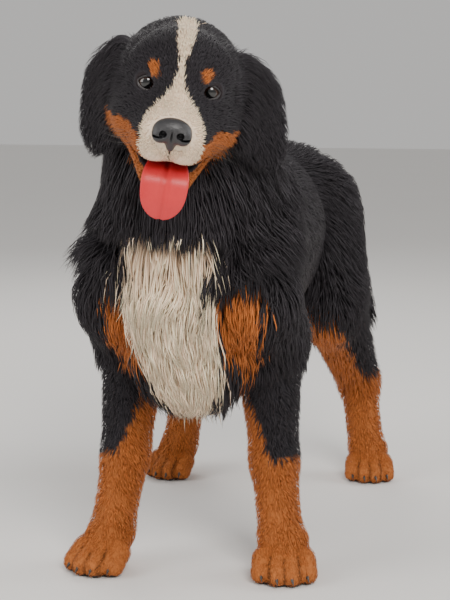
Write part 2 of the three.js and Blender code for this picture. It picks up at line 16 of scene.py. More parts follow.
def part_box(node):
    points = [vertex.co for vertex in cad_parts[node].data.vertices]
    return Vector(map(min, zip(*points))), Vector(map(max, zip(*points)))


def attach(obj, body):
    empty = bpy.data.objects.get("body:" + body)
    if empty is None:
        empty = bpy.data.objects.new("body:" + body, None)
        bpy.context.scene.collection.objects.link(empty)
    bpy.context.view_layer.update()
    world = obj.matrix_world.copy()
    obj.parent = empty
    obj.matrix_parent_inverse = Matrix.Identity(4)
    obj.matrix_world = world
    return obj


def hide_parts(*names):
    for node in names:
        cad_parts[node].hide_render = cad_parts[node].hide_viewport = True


bl_info = {
    "name": "Standing Mountain Dog",
    "version": (1, 0, 0),
    "blender": (4, 5, 0),
    "location": "3D View > Sidebar > Dog",
    "description": "Skin, coat, face and claws of a standing long-haired dog, and its studio",
    "category": "Object",
}

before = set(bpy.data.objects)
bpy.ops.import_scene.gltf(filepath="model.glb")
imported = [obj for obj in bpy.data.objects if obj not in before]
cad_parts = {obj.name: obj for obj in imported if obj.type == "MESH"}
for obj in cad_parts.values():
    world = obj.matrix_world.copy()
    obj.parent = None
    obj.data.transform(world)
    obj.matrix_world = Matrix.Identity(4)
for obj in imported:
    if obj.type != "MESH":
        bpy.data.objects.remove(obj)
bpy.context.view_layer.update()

MM = 0.001
MIDDLE = np.array([0.0, -52.4, 0.0])  # the frame's origin, in the millimetres that the muscles are written in
FAR = 1e3
SIDES = ((1, "left"), (-1, "right"))


def to_metres(points):
    return (np.asarray(points, float) - MIDDLE) * MM


# The animal's measurements, in millimetres, facing -Y with its left side on +X
WITHERS = 640.0
BODY_LENGTH = 730.0
FRONT_STANCE, HIND_STANCE = 142.0, 186.0
FRONT_STEP, HIND_STEP = 12.0, 34.0
HEAD_YAW, HEAD_PITCH, HEAD_ROLL, HEAD_SIZE = 13.0, -14.0, 9.0, 1.1
EAR_FLARE = 18.0
EYE_RADIUS = 12.0
SKIN_SHARE = 0.1  # how far the skin stands off the muscles, as a share of the hair's depth


def point(x, y, z):
    return np.array([x, y, z], float)


def unit(vectors):
    return vectors / np.maximum(np.linalg.norm(vectors, axis=-1, keepdims=True), 1e-6)


BRISKET = WITHERS * 0.54
CHEST_FRONT = -BODY_LENGTH * 0.51
BUTTOCK = BODY_LENGTH * 0.485
ELBOW = point(107, CHEST_FRONT + 150, WITHERS * 0.57)
WRIST = point(118, ELBOW[1] - 14, WITHERS * 0.27)
FETLOCK = point(FRONT_STANCE - 9, WRIST[1] - 24, WITHERS * 0.095)
HIP = point(80, BUTTOCK - 92, WITHERS * 0.8)
KNEE = point(130, HIP[1] - 70, WITHERS * 0.57)
HOCK = point(160, BUTTOCK - 2, WITHERS * 0.285)
HIND_FETLOCK = point(HIND_STANCE - 9, HOCK[1] - 16, WITHERS * 0.095)
SKULL = point(18, CHEST_FRONT - 42, WITHERS + 119)
MUZZLE_TIP = -160.0
JAW_TIP = point(0, -126, -92)


def rotation(degrees, axis):
    return np.array(Matrix.Rotation(math.radians(degrees), 4, axis))


def moved(x, y, z):
    return np.array(Matrix.Translation((x, y, z)))


def placed(matrix, points):
    """Points of a local frame in the body's millimetres."""
    points = np.asarray(points, float)
    return points @ matrix[:3, :3].T + matrix[:3, 3]


HEAD = moved(*SKULL) @ rotation(HEAD_YAW, "Z") @ rotation(-HEAD_PITCH, "X") @ rotation(HEAD_ROLL, "Y")
HEAD[:3, :3] *= HEAD_SIZE
FROM_HEAD = np.linalg.inv(HEAD)


def ear_place(side):
    hang = rotation(-EAR_FLARE * side - HEAD_ROLL, "Y")
    return HEAD @ moved(76 * side, -2, 24) @ hang @ rotation(-34 * side, "Z")


def paw_place(side, stance, fetlock, step, turn, scale):
    place = moved(stance * side, fetlock[1] - 16 + step * side, 0) @ rotation(turn * side, "Z")
    place[:3, :2] *= scale
    return place


# Muscles


class Muscle:
    """A round bar from one point to another, stretched along X, Y and Z, with the hair's depth on it."""

    def __init__(self, start, end, r0, r1, wide=1.0, deep=1.0, tall=1.0, blend=22.0, coat=20.0, coat_end=None):
        self.stretch = point(wide, deep, tall)
        self.start = np.asarray(start, float) / self.stretch
        self.along = np.asarray(end, float) / self.stretch - self.start
        self.r0, self.r1, self.blend = r0, r1, blend
        self.coat, self.coat_end = coat, coat if coat_end is None else coat_end
        self.least = self.stretch.min()
        room = max(r0, r1) * self.stretch + (self.coat + 2) / self.least + blend + 6
        ends = np.array([start, end], float)
        self.low, self.high = ends.min(0) - room, ends.max(0) + room

    def distance(self, points, share):
        """Distance to the bar's surface, and the hair's depth there."""
        offset = points / self.stretch - self.start
        t = np.clip(offset @ self.along / max(self.along @ self.along, 1e-6), 0, 1)
        offset -= t[:, None] * self.along
        hair = self.coat + (self.coat_end - self.coat) * t
        radius = self.r0 + (self.r1 - self.r0) * t
        return (np.sqrt(np.einsum("ij,ij->i", offset, offset)) - radius) * self.least - hair * share, hair


class Flesh:
    """Blended muscles in one local frame. The flow is the way the hair lies on them."""

    def __init__(self, name, muscles, flow, place=None):
        self.name, self.muscles, self.flow = name, muscles, flow
        self.place = np.eye(4) if place is None else place
        self.inverse = np.linalg.inv(self.place)
        self.scale = np.linalg.det(self.place[:3, :3]) ** (1 / 3)

    def read(self, points, share=SKIN_SHARE):
        """Distance and hair depth at points of the body frame."""
        local = placed(self.inverse, points)
        near = np.full(len(local), FAR)
        weight = np.full(len(local), 1e-9)
        hair = np.zeros(len(local))
        for muscle in self.muscles:
            inside = np.all((local > muscle.low) & (local < muscle.high), axis=1)
            if not inside.any():
                continue
            distance, depth = muscle.distance(local[inside], share)
            before = near[inside]
            overlap = np.clip(muscle.blend - np.abs(before - distance), 0, None) / muscle.blend
            overlap[before == FAR] = 0
            near[inside] = np.minimum(before, distance) - overlap**2 * muscle.blend / 4
            closeness = np.exp(-np.clip(distance, -60, 200) / 7)
            weight[inside] += closeness
            hair[inside] += closeness * depth
        return near * self.scale, hair / weight * self.scale

    def directions(self, points):
        return self.flow(placed(self.inverse, points)) @ self.place[:3, :3].T / self.scale


def at(joint, side, step=0.0):
    return point(joint[0] * side, joint[1] + step * side, joint[2])


def both_sides(make):
    return [make(1), make(-1)]


SHOULDER = point(97, CHEST_FRONT + 56, BRISKET + 96)
CROUP = point(46, HIP[1] - 15, HIP[2] + 32)
RUMP = point(50, HIP[1] + 26, HIP[2] - 2)
torso_muscles = [
    Muscle((0, -215, BRISKET + 134), (0, 80, BRISKET + 156), 132, 125, wide=0.93, coat=26),
    Muscle((0, -225, WITHERS - 70), (0, -60, WITHERS - 78), 68, 70, coat=24),
    Muscle((0, 70, WITHERS - 120), (0, 240, WITHERS - 106), 98, 98, wide=0.95, coat=22),
    Muscle((0, -60, BRISKET + 88), (0, 190, BRISKET + 112), 76, 60, wide=1.2, coat=40),
    Muscle((0, CHEST_FRONT + 84, BRISKET + 92), (0, CHEST_FRONT + 118, BRISKET + 34), 88, 84, 1.05, coat=52),
    *both_sides(lambda s: Muscle(at(CROUP, s), at(RUMP, s), 84, 70, coat=24)),
    *both_sides(lambda s: Muscle((72 * s, -212, WITHERS - 62), at(SHOULDER, s), 50, 54, coat=24)),
    *both_sides(lambda s: Muscle(at(SHOULDER, s), at(ELBOW, s), 52, 48, coat=24)),
]
THROAT = (10, SKULL[1] + 40, SKULL[2] - 88)
neck_muscles = [
    Muscle((0, -225, WITHERS - 92), (8, SKULL[1] + 62, SKULL[2] - 58), 98, 74, 1.18, coat=54, coat_end=30),
    Muscle((2, CHEST_FRONT + 60, WITHERS - 90), THROAT, 80, 56, 1.2, coat=60, coat_end=44),
]


def foreleg_muscles(s):
    return [
        Muscle(at(ELBOW, s), at(WRIST, s, FRONT_STEP), 46, 29, deep=1.12, coat=9),
        Muscle(at(WRIST, s, FRONT_STEP), at(FETLOCK, s, FRONT_STEP), 30, 29, coat=7),
    ]


def thigh_muscles(s):
    back = (126 * s, HOCK[1] - 44, KNEE[2] - 28)
    return [
        Muscle(at(HIP, s), at(KNEE, s, HIND_STEP / 2), 94, 60, wide=0.82, coat=26),
        Muscle((84 * s, HIP[1] + 42, HIP[2] - 12), back, 60, 40, coat=38),
    ]


def shank_muscles(s):
    tendon = (KNEE[0] * s, KNEE[1] + 66, KNEE[2] - 20)
    return [
        Muscle(at(KNEE, s, HIND_STEP / 2), at(HOCK, s, HIND_STEP), 52, 26, coat=12),
        Muscle(tendon, at(HOCK, s, HIND_STEP), 38, 20, coat=22),
        Muscle(at(HOCK, s, HIND_STEP), at(HIND_FETLOCK, s, HIND_STEP), 29, 28, coat=7),
    ]


tail_line = np.array(
    [
        (0, BUTTOCK - 22, HIP[2] + 44),
        (-10, BUTTOCK + 38, HIP[2] - 20),
        (-34, BUTTOCK + 66, HIP[2] - 150),
        (-52, BUTTOCK + 92, HIP[2] - 285),
    ]
)
tail_muscles = [
    Muscle(tail_line[0], tail_line[1], 34, 27, coat=18),
    Muscle(tail_line[1], tail_line[2], 27, 22, coat=40),
    Muscle(tail_line[2], tail_line[3], 22, 12, coat=40),
]
head_muscles = [
    Muscle((0, 26, 0), (0, -32, 4), 72, 67, coat=9),
    Muscle((0, -46, 22), (0, -60, 14), 44, 38, wide=1.2, blend=32, coat=6),
    *both_sides(lambda s: Muscle((54 * s, 2, -26), (44 * s, -62, -34), 34, 29, coat=14)),
    *both_sides(lambda s: Muscle((20 * s, -64, 34), (38 * s, -58, 34), 22, 19, blend=24, coat=4)),
    Muscle((0, -84, -6), (0, MUZZLE_TIP + 22, -20), 32, 25, wide=1.2, blend=30, coat=4),
    *both_sides(lambda s: Muscle((28 * s, -84, -32), (19 * s, MUZZLE_TIP + 24, -34), 27, 24, coat=5)),
    *both_sides(lambda s: Muscle((34 * s, -86, -48), (22 * s, MUZZLE_TIP + 34, -46), 17, 14, coat=4)),
]
CHIN = JAW_TIP + point(18, 14, 2)
jaw_muscles = [
    *both_sides(lambda s: Muscle((38 * s, -26, -56), at(CHIN, s), 23, 13, blend=12, coat=8)),
    Muscle((0, -40, -70), JAW_TIP, 26, 13, blend=12, coat=8),
]
ear_muscles = [
    Muscle((0, 2, -4), (0, 0, -46), 16, 42, wide=0.3, coat=2, coat_end=3),
    Muscle((0, 0, -46), (0, 6, -92), 42, 20, wide=0.26, coat=3, coat_end=8),
]
TOES = (-1.5, -0.5, 0.5, 1.5)
paw_muscles = [Muscle((0, 22, 50), (0, -8, 24), 29, 27, wide=1.25, blend=10, coat=4)] + [
    Muscle((20 * i, -14 + 3 * i * i, 30), (23 * i, -50 + 7 * i * i, 15), 18, 16, blend=4, coat=2) for i in TOES
]


def steady(x, y, z):
    """A flow that is the same all over."""
    return lambda points: np.tile(point(x, y, z), (len(points), 1))


def torso_flow(points):
    back = np.interp(points[:, 1], [-400, 0], [-0.1, 1.5])
    return np.stack([np.zeros(len(points)), back, np.full(len(points), -1.0)], axis=1)


def head_flow(points):
    """Back from the nose, and down over the cheeks."""
    top = np.interp(points[:, 1], [-90, 0, 60], [0.35, 0.0, -1.3])
    down = np.interp(points[:, 2], [-60, 30], [-0.75, 0]) + top * np.interp(points[:, 2], [-60, 30], [0, 1])
    out = np.sign(points[:, 0]) * np.interp(np.abs(points[:, 0]), [0, 40], [0, 0.35])
    return np.stack([out, np.ones(len(points)), down], axis=1)


def tail_flow(points):
    step = np.interp(points[:, 2], tail_line[::-1, 2], [0, 1, 2, 3])
    flow = np.tile(point(-0.12, 0.24, -1), (len(points), 1))
    flow[step > 2, 1] = 1.0
    return flow


BODY = [
    Flesh("torso", torso_muscles, torso_flow),
    Flesh("neck", neck_muscles, steady(0, 0.42, -1)),
    Flesh("tail", tail_muscles, tail_flow),
    *both_sides(lambda s: Flesh("thigh", thigh_muscles(s), steady(0, 0.5, -1))),
]


def make_leg(name, muscles, lie, *paw):
    toes_down = steady(0, -0.8, -0.6)
    return [Flesh(name, muscles, lie), Flesh("paw", paw_muscles, toes_down, paw_place(*paw))]


LEGS = []
for side in (1, -1):
    front_paw = (side, FRONT_STANCE, FETLOCK, FRONT_STEP, 12, 1.0)
    hind_paw = (side, HIND_STANCE, HIND_FETLOCK, HIND_STEP, 10, 0.92)
    LEGS.append(make_leg("foreleg", foreleg_muscles(side), steady(0, 0.45, -1), *front_paw))
    LEGS.append(make_leg("shank", shank_muscles(side), steady(0, 0.5, -1), *hind_paw))
FACE = [
    Flesh("head", head_muscles, head_flow, HEAD),
    Flesh("jaw", jaw_muscles, steady(0, 0.8, -0.6), HEAD),
    *both_sides(lambda s: Flesh("ear", ear_muscles, steady(0, 0, -1), ear_place(s))),
]
WHOLE = BODY + [flesh for leg in LEGS for flesh in leg] + FACE


def eye_centre(side):
    """The middle of an eye's solid, in the body's millimetres."""
    low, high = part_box("eye_left" if side > 0 else "eye_right")
    return (np.array(low) + np.array(high)) / 2 / MM + MIDDLE


EYES = {side: eye_centre(side) for side in (1, -1)}
EYES_LOCAL = {side: placed(FROM_HEAD, EYES[side]) for side in (1, -1)}


def gaze(side):
    """The way an eye looks, a little outward."""
    return unit(HEAD[:3, :3] @ point(0.05 * side, -1, -0.02))


def smooth_union(a, b, blend):
    overlap = np.clip(blend - np.abs(a - b), 0, None) / blend
    return np.minimum(a, b) - overlap**2 * blend / 4


def ellipsoid(points, centre, radii):
    """Rough distance to an ellipsoid: negative inside."""
    radii = np.asarray(radii, float)
    scaled = np.linalg.norm((points - centre) / radii, axis=1)
    return (scaled - 1) * radii.min()


def mouth_opening(local):
    """The gap between the lips and the jaw, in the head's frame. It rises to the corners of the mouth."""
    rise = 0.013 * np.clip(local[:, 1] + 112, 0, 60) ** 2
    droop = np.clip(local[:, 1] + 112, -60, 0)
    level = local - np.outer(rise, point(0, 0, 1)) - np.outer(droop, point(0, 0, 0.2))
    return ellipsoid(level, point(0, -98, -68), (60, 66, 11.0))


def face_field(points):
    """The face with its lids, eye openings and mouth."""
    parts = [flesh.read(points)[0] for flesh in FACE]
    local = placed(FROM_HEAD, points)
    near = parts[0]
    for side in (1, -1):
        flew = ellipsoid(local, point(17 * side, -141, -44), (16, 16, 17))
        near = smooth_union(near, flew * HEAD_SIZE, 10)
    groove = ellipsoid(local, point(0, -166, -52), (1.8, 13, 17))
    near = np.maximum(near, -groove * HEAD_SIZE)
    near = smooth_union(near, parts[1], 10)
    near = np.maximum(near, -mouth_opening(local) * HEAD_SIZE)
    for side in (1, -1):
        eye = EYES_LOCAL[side]
        lid = ellipsoid(local, eye, (EYE_RADIUS + 2.4, EYE_RADIUS + 1.6, EYE_RADIUS + 0.8))
        near = smooth_union(near, lid * HEAD_SIZE, 10)
        slit = ellipsoid(local, eye + point(2 * side, -EYE_RADIUS, 0.3), (11.0, 13, 8.8))
        near = np.maximum(near, -slit * HEAD_SIZE)
    for ear in parts[2:]:
        near = smooth_union(near, ear, 7)
    return near


def group_field(group, blend):
    def field(points):
        near = group[0].read(points)[0]
        for flesh in group[1:]:
            near = smooth_union(near, flesh.read(points)[0], blend)
        return near

    return field


# Meshes


def reach_of(group):
    """The box round a group of flesh, in the body's millimetres."""
    corners = []
    for flesh in group:
        for muscle in flesh.muscles:
            steps = np.array(np.meshgrid(*zip(muscle.low, muscle.high))).reshape(3, -1).T
            corners.append(placed(flesh.place, steps))
    corners = np.concatenate(corners)
    return corners.min(0), corners.max(0)


def facing_out(vertices, faces):
    """The faces, turned over if they face inward."""
    corner = (vertices - vertices.mean(0))[faces]
    volume = np.einsum("ij,ij->i", corner[:, 0], np.cross(corner[:, 1], corner[:, 2])).sum()
    return faces if volume > 0 else faces[:, ::-1]


def surface_of(field, low, high, pitch):
    """The field's surface as vertices in millimetres and triangles facing out."""
    band = 50.0
    slab = 400000
    counts = np.ceil((high - low) / pitch).astype(int) + 1
    values = np.full(counts, band, np.float32)
    rows_y, rows_z = np.meshgrid(np.arange(counts[1]), np.arange(counts[2]), indexing="ij")
    step = max(1, int(slab / (counts[1] * counts[2])))
    for first in range(0, counts[0], step):
        last = min(first + step, counts[0])
        xs = np.repeat(np.arange(first, last), rows_y.size)
        ys = np.tile(rows_y.ravel(), last - first)
        zs = np.tile(rows_z.ravel(), last - first)
        points = low + pitch * np.stack([xs, ys, zs], axis=1)
        values[first:last] = np.clip(field(points), -band, band).reshape(last - first, counts[1], counts[2])
    grid = openvdb.FloatGrid(band)
    grid.copyFromArray(values)
    vertices, triangles, quads = grid.convertToPolygons(isovalue=0.0, adaptivity=0.0)
    vertices = low + np.asarray(vertices, float) * pitch
    quads = np.asarray(quads).reshape(-1, 4)
    faces = np.concatenate([np.asarray(triangles).reshape(-1, 3), quads[:, [0, 1, 2]], quads[:, [0, 2, 3]]])
    return vertices, facing_out(vertices, faces)


def around(count):
    return 2 * math.pi * np.arange(count) / count


def tube(rings, ends=None):
    """A tube through equal rings of points, capped at its two end points, or a closed loop without them."""
    rings = np.asarray(rings)
    count, sides = rings.shape[:2]
    vertices = rings.reshape(-1, 3)
    k = np.arange(sides)
    n = (k + 1) % sides
    faces = []
    for ring in range(count if ends is None else count - 1):
        a, b = ring * sides, (ring + 1) % count * sides
        faces += [np.stack([a + k, a + n, b + n], 1), np.stack([a + k, b + n, b + k], 1)]
    if ends is not None:
        vertices = np.concatenate([vertices, ends])
        last = (count - 1) * sides
        cap = np.full(sides, count * sides)
        faces += [np.stack([cap, n, k], 1), np.stack([cap + 1, last + k, last + n], 1)]
    return vertices, facing_out(vertices, np.concatenate(faces))


def mesh_object(name, vertices, faces):
    """A smooth mesh from arrays of points in millimetres and triangles."""
    mesh = bpy.data.meshes.new(name)
    mesh.vertices.add(len(vertices))
    mesh.vertices.foreach_set("co", to_metres(vertices).astype(np.float32).ravel())
    mesh.loops.add(faces.size)
    mesh.loops.foreach_set("vertex_index", faces.astype(np.int32).ravel())
    mesh.polygons.add(len(faces))
    mesh.polygons.foreach_set("loop_start", np.arange(0, faces.size, 3, dtype=np.int32))
    mesh.update(calc_edges=True)
    mesh.polygons.foreach_set("use_smooth", np.full(len(faces), True))
    item = bpy.data.objects.new(name, mesh)
    bpy.context.scene.collection.objects.link(item)
    return item


def paint(item, colours):
    """A colour for each vertex, as the attribute that the materials read."""
    layer = item.data.color_attributes.new("markings", "FLOAT_COLOR", "POINT")
    values = np.ones((len(colours), 4), np.float32)
    values[:, :3] = colours
    layer.data.foreach_set("color", values.ravel())


def add_uv(item, corners):
    """A place on the unwrap for each face's corners."""
    layer = item.data.uv_layers.new(name="OFBake")
    layer.data.foreach_set("uv", np.asarray(corners, np.float32).ravel())


# Markings, in the body's millimetres. Each is positive inside, and they are ragged at their edges. Among them,
# the toe seams are a distance, which places painted shade between the toes.


def ragged(points, size, amount):
    """Soft waves that break up an edge."""
    p = points / size
    waves = np.sin(p[:, 0] * 3.1 + 1.7 * np.sin(p[:, 2] * 2.3)) + np.sin(p[:, 2] * 1.9 + p[:, 1] * 2.7 + 0.6)
    return waves * amount * 0.5


def blaze(local):
    on_brow = np.interp(local[:, 2], [15, 45, 75], [3.5, 5.0, 11])
    on_muzzle = np.interp(-local[:, 1], [104, 117, 132, 151], [3.5, 8, 24, 37])
    width = np.where(local[:, 1] > -90, on_brow, on_muzzle)
    width = np.where(local[:, 1] > 6, width - (local[:, 1] - 6) * 0.6, width)
    low = np.where(local[:, 1] < -90, local[:, 2] + 70, local[:, 2] - 6)
    return np.minimum(width - np.abs(local[:, 0]), low)


def brows(local):
    near = np.full(len(local), -50.0)
    for side in (1, -1):
        near = np.maximum(near, -ellipsoid(local, point(30 * side, -80, 35), (7.5, 40, 8.5)))
    return near


def cheeks(local):
    top = np.interp(-local[:, 1], [-20, 60, 100, 150], [-34, -33, -27, -30])
    return np.minimum.reduce([top - local[:, 2], -local[:, 1] + 8, local[:, 2] + 150])


BIB_LEVELS = [300, 375, 430, 495, 555, 600]
BIB_CENTRES = [4, 4, -2, -6, -6, -8]
BIB_WIDTHS = [30, 50, 63, 68, 52, 44]


def bib(points):
    """The white chest, whose hair hangs below its roots."""
    centre = np.interp(points[:, 2], BIB_LEVELS, BIB_CENTRES)
    width = np.interp(points[:, 2], BIB_LEVELS, BIB_WIDTHS)
    return np.minimum.reduce([width - np.abs(points[:, 0] - centre), -230 - points[:, 1], 574 - points[:, 2]])


def chest_patches(points):
    left = -ellipsoid(points, point(97, -330, 424), (36, 130, 58))
    right = -ellipsoid(points, point(-84, -330, 420), (33, 130, 54))
    return np.maximum(left, right)


def toe_seams(points):
    """Distance to the lines between the toes of each paw, where the coat gets painted shade."""
    near = np.full(len(points), 50.0)
    for leg in LEGS:
        local = placed(leg[1].inverse, points)
        spread = np.interp(-local[:, 1], [14, 50], [20, 23])
        offset = np.abs(np.abs(local[:, 0]) - spread * (np.abs(local[:, 0]) > spread / 2))
        beside = (np.abs(local) < point(50, 90, 44)).all(1) & (local[:, 1] < -34 + 0.4 * np.abs(local[:, 0]))
        near = np.where(beside, np.minimum(near, offset), near)
    return near


def socks(points):
    """Rust on the lower legs, higher inside the front ones and down the front of the hind ones."""
    x, y, z = np.abs(points[:, 0]), points[:, 1], points[:, 2]
    front = y < 0
    top = np.where(front, 184, 208)
    inner = np.interp(x, [80, 122], [110, 0])
    bone = np.interp(z, [HOCK[2], KNEE[2], HIP[2]], [HOCK[1], KNEE[1], HIP[1]])
    ahead = bone - y + np.interp(x, [90, 150], [26, -10]) + np.interp(z, [HOCK[2] + 20, KNEE[2] - 20], [30, 0])
    return top + np.where(front, inner, np.interp(ahead, [22, 48], [0, 150])) - z


COLOURS = {
    "lip": point(0.020, 0.014, 0.016),
    "mouth": point(0.220, 0.035, 0.040),
    "pad": point(0.030, 0.027, 0.028),
}


def lip_split(local, half):
    """Where the upper lip parts, below the nose."""
    return (np.abs(local[:, 0]) < half) & (local[:, 1] < -150) & (local[:, 2] < -38)


def of_face(group):
    return np.isin(group, ["head", "jaw"])


def coat_colour(points, group):
    """The coat's colour at points whose flesh is named by group, with painted shade in the creases between the
    toes.
    """
    coat = bpy.context.scene.dog_coat
    black, rust, cream = (np.array(shade) for shade in (coat.black, coat.rust, coat.cream))
    local = placed(FROM_HEAD, points)
    face = of_face(group)
    colour = np.tile(black, (len(points), 1))
    edge = ragged(points, 22, 7)
    fine = ragged(points, 9, 2.5)
    colour[face & (cheeks(local) + fine > 0)] = rust
    colour[face & (brows(local) + fine * 0.4 > 0)] = rust
    colour[group == "jaw"] = rust
    colour[(group == "head") & (blaze(local) + fine * 0.6 > 0)] = cream
    colour[(group == "head") & lip_split(local, 1.3)] = COLOURS["lip"]
    trunk = np.isin(group, ["torso", "neck", "foreleg"])
    colour[trunk & (chest_patches(points) + edge > 0)] = rust
    colour[trunk & (bib(points) + edge > 0)] = cream
    limb = np.isin(group, ["foreleg", "shank", "paw", "thigh"])
    colour[limb & (socks(points) + edge * 0.8 > 0)] = rust
    colour[(group == "tail") & (points[:, 2] < tail_line[3][2] + 62 + edge)] = cream
    # painted shade: the paws darken towards the creases between the toes
    paw = group == "paw"
    toe_crease_shade = 0.22
    colour[paw] *= np.clip(toe_crease_shade + toe_seams(points[paw]) / 4, toe_crease_shade, 1)[:, None]
    return colour


def survey(points):
    """For each point: height over the skin, and the nearest flesh's name, hair depth and hair direction."""
    reads = [flesh.read(points) for flesh in WHOLE]
    nears = np.stack([near for near, _ in reads])
    closest = nears.min(0)
    weights = np.exp(-(nears - closest) / 8)
    weights[weights < 0.03] = 0
    group = np.array([flesh.name for flesh in WHOLE])[nears.argmin(0)]
    hair = np.zeros(len(points))
    flow = np.zeros((len(points), 3))
    for flesh, weight, (_, depth) in zip(WHOLE, weights, reads):
        mine = weight > 0
        if mine.any():
            hair[mine] += weight[mine] * depth[mine]
            flow[mine] += weight[mine, None] * unit(flesh.directions(points[mine]))
    return closest, hair / weights.sum(0), group, flow


def whole_field(points):
    near = np.full(len(points), FAR)
    for flesh in WHOLE:
        near = smooth_union(near, flesh.read(points)[0], 12)
    return near


def slopes(points):
    """Height over the skin at points, and the way out of it."""
    step = 1.5
    base = whole_field(points)
    return base, unit(np.stack([whole_field(points + step * axis) - base for axis in np.eye(3)], axis=1))


# An unwrap of the skin: each part of the body is unrolled round its own axis into a tile of its own

TILE, MARGIN = 0.2, 0.01
TILES_IN_A_ROW = 5
PAIRED = ("thigh", "foreleg", "shank", "paw", "ear")
PAW_MIDDLE = 160.0
AXES = {
    "torso": (point(0, -380, 480), point(0, 340, 520)),
    "neck": (point(0, -200, 500), point(10, -400, 760)),
    "tail": (tail_line[1], tail_line[3]),
    "thigh": (HIP, KNEE),
    "foreleg": (ELBOW, FETLOCK),
    "shank": (KNEE, HIND_FETLOCK),
    "paw": (point(0, 0, 90), point(0, 0, -5)),
    "head": (placed(HEAD, point(0, 90, -4)), placed(HEAD, point(0, -170, -30))),
    "jaw": (placed(HEAD, point(0, 0, -60)), placed(HEAD, point(0, -150, -96))),
    "ear": (point(0, 0, 0), point(0, 0, -110)),
}


def unwrap(points, group):
    """Places on the unwrap, one tile for each part and side of the body."""
    places = np.zeros((len(points), 2))
    middle = np.where(np.isin(group, ["head", "jaw", "ear"]), SKULL[0], 0)
    left = points[:, 0] >= middle
    for tile, (name, axis) in enumerate(AXES.items()):
        for side in (1, -1) if name in PAIRED else (0,):
            chosen = (group == name) & (left == (side > 0)) if side else group == name
            start, end = axis
            p = points[chosen]
            front = p[:, 1] < 0
            if name == "ear":
                start, end = placed(ear_place(side), start), placed(ear_place(side), end)
            elif name == "paw":
                base = np.where(front, FETLOCK[1], HIND_FETLOCK[1]) - 16
                p = p - np.stack([np.full(len(p), side * PAW_MIDDLE), base, np.zeros(len(p))], axis=1)
            elif side:
                start, end = at(start, side), at(end, side)
            along = end - start
            offset = p - start
            t = offset @ along / (along @ along)
            across = unit(np.cross(along, point(1, 0.01, 0)))
            third = unit(np.cross(along, across))
            angle = np.arctan2(offset @ across, offset @ third) / (2 * math.pi) + 0.5
            room = TILE - 2 * MARGIN
            u = MARGIN + room * angle
            v = MARGIN + room * np.clip(0.15 + 0.7 * t, 0, 1)
            if name == "paw":
                v = np.where(front, v * 0.5, v * 0.5 + TILE / 2)
            row, column = divmod(tile + (len(AXES) if side < 0 else 0), TILES_IN_A_ROW)
            places[chosen] = np.stack([u + TILE * column, v + TILE * row], axis=1)
    return places


# Shaders


class Wire:
    """A socket that takes part in Python expressions, each of which adds its Math node."""

    def __init__(self, shader, socket):
        self.shader, self.socket = shader, socket

    def math(self, operation, *others):
        return self.shader.node("ShaderNodeMath", {"operation": operation}, [self, *others])

    def __add__(self, other):
        return self.math("ADD", other)

    def __mul__(self, other):
        return self.math("MULTIPLY", other)

    def __sub__(self, other):
        return self.math("SUBTRACT", other)

    def __rsub__(self, other):
        return self.shader.node("ShaderNodeMath", {"operation": "SUBTRACT"}, [other, self])

    def __pow__(self, other):
        return self.math("POWER", other)

    __radd__ = __add__
    __rmul__ = __mul__


def rgba(colour):
    """A plain colour with its alpha. A wire stays as it is."""
    return colour if isinstance(colour, Wire) else (*map(float, colour), 1.0)


def feed(tree, socket, value):
    """Joins a socket to a wire or another socket, or sets its value."""
    value = getattr(value, "socket", value)
    if isinstance(value, bpy.types.NodeSocket):
        tree.links.new(value, socket)
    else:
        socket.default_value = value


def add_stops(ramp, stops):
    while len(ramp.elements) < len(stops):
        ramp.elements.new(0.5)
    for element, (place, colour) in zip(ramp.elements, stops):
        element.position, element.color = place, rgba(colour)


def add_node(tree, kind, settings, inputs):
    """A node of a kind: first its settings, such as a ramp's stops, then its sockets' values or links."""
    made = tree.nodes.new(kind)
    for key, value in settings.items():
        if key == "stops":
            add_stops(made.color_ramp, value)
        else:
            setattr(made, key, value)
    for key, value in inputs.items() if isinstance(inputs, dict) else enumerate(inputs):
        feed(tree, made.inputs[key], value)
    return made


class Shader:
    """A material's nodes."""

    def __init__(self, name):
        self.material = bpy.data.materials.new(name)
        self.material.use_nodes = True
        self.tree = self.material.node_tree
        self.surface = self.tree.nodes["Principled BSDF"]

    def node(self, kind, settings=None, inputs=(), output=0):
        return Wire(self, add_node(self.tree, kind, settings or {}, inputs).outputs[output])

    def vector(self, operation, inputs, output=0):
        return self.node("ShaderNodeVectorMath", {"operation": operation}, inputs, output)

    def mix(self, factor, a, b, blend="MIX"):
        settings = {"data_type": "RGBA", "blend_type": blend}
        return self.node("ShaderNodeMix", settings, {0: factor, 6: rgba(a), 7: rgba(b)}, 2)

    def place(self):
        return self.node("ShaderNodeTexCoord", output="Object")

    def noise(self, scale, detail=2.0):
        inputs = {"Vector": self.place(), "Scale": scale, "Detail": detail, "Roughness": 0.5}
        return self.node("ShaderNodeTexNoise", {}, inputs)

    def cells(self, scale, feature="F1"):
        inputs = {"Vector": self.place(), "Scale": scale}
        return self.node("ShaderNodeTexVoronoi", {"feature": feature}, inputs)

    def markings(self):
        return self.node("ShaderNodeAttribute", {"attribute_name": "markings"}, output="Color")

    def bump(self, height, strength, distance):
        return self.node("ShaderNodeBump", {}, {"Strength": strength, "Distance": distance, "Height": height})

    def finish(self, **inputs):
        for key, value in inputs.items():
            feed(self.tree, self.surface.inputs[key.replace("_", " ")], value)
        return self.material

    def grained(self, scale, detail, dark, light, spread, roughness, **others):
        """A surface whose colour and roughness follow one noise."""
        grain = self.noise(scale, detail)
        colour = self.mix(grain, dark, light)
        return self.finish(Base_Color=colour, Roughness=grain * spread + roughness, **others)


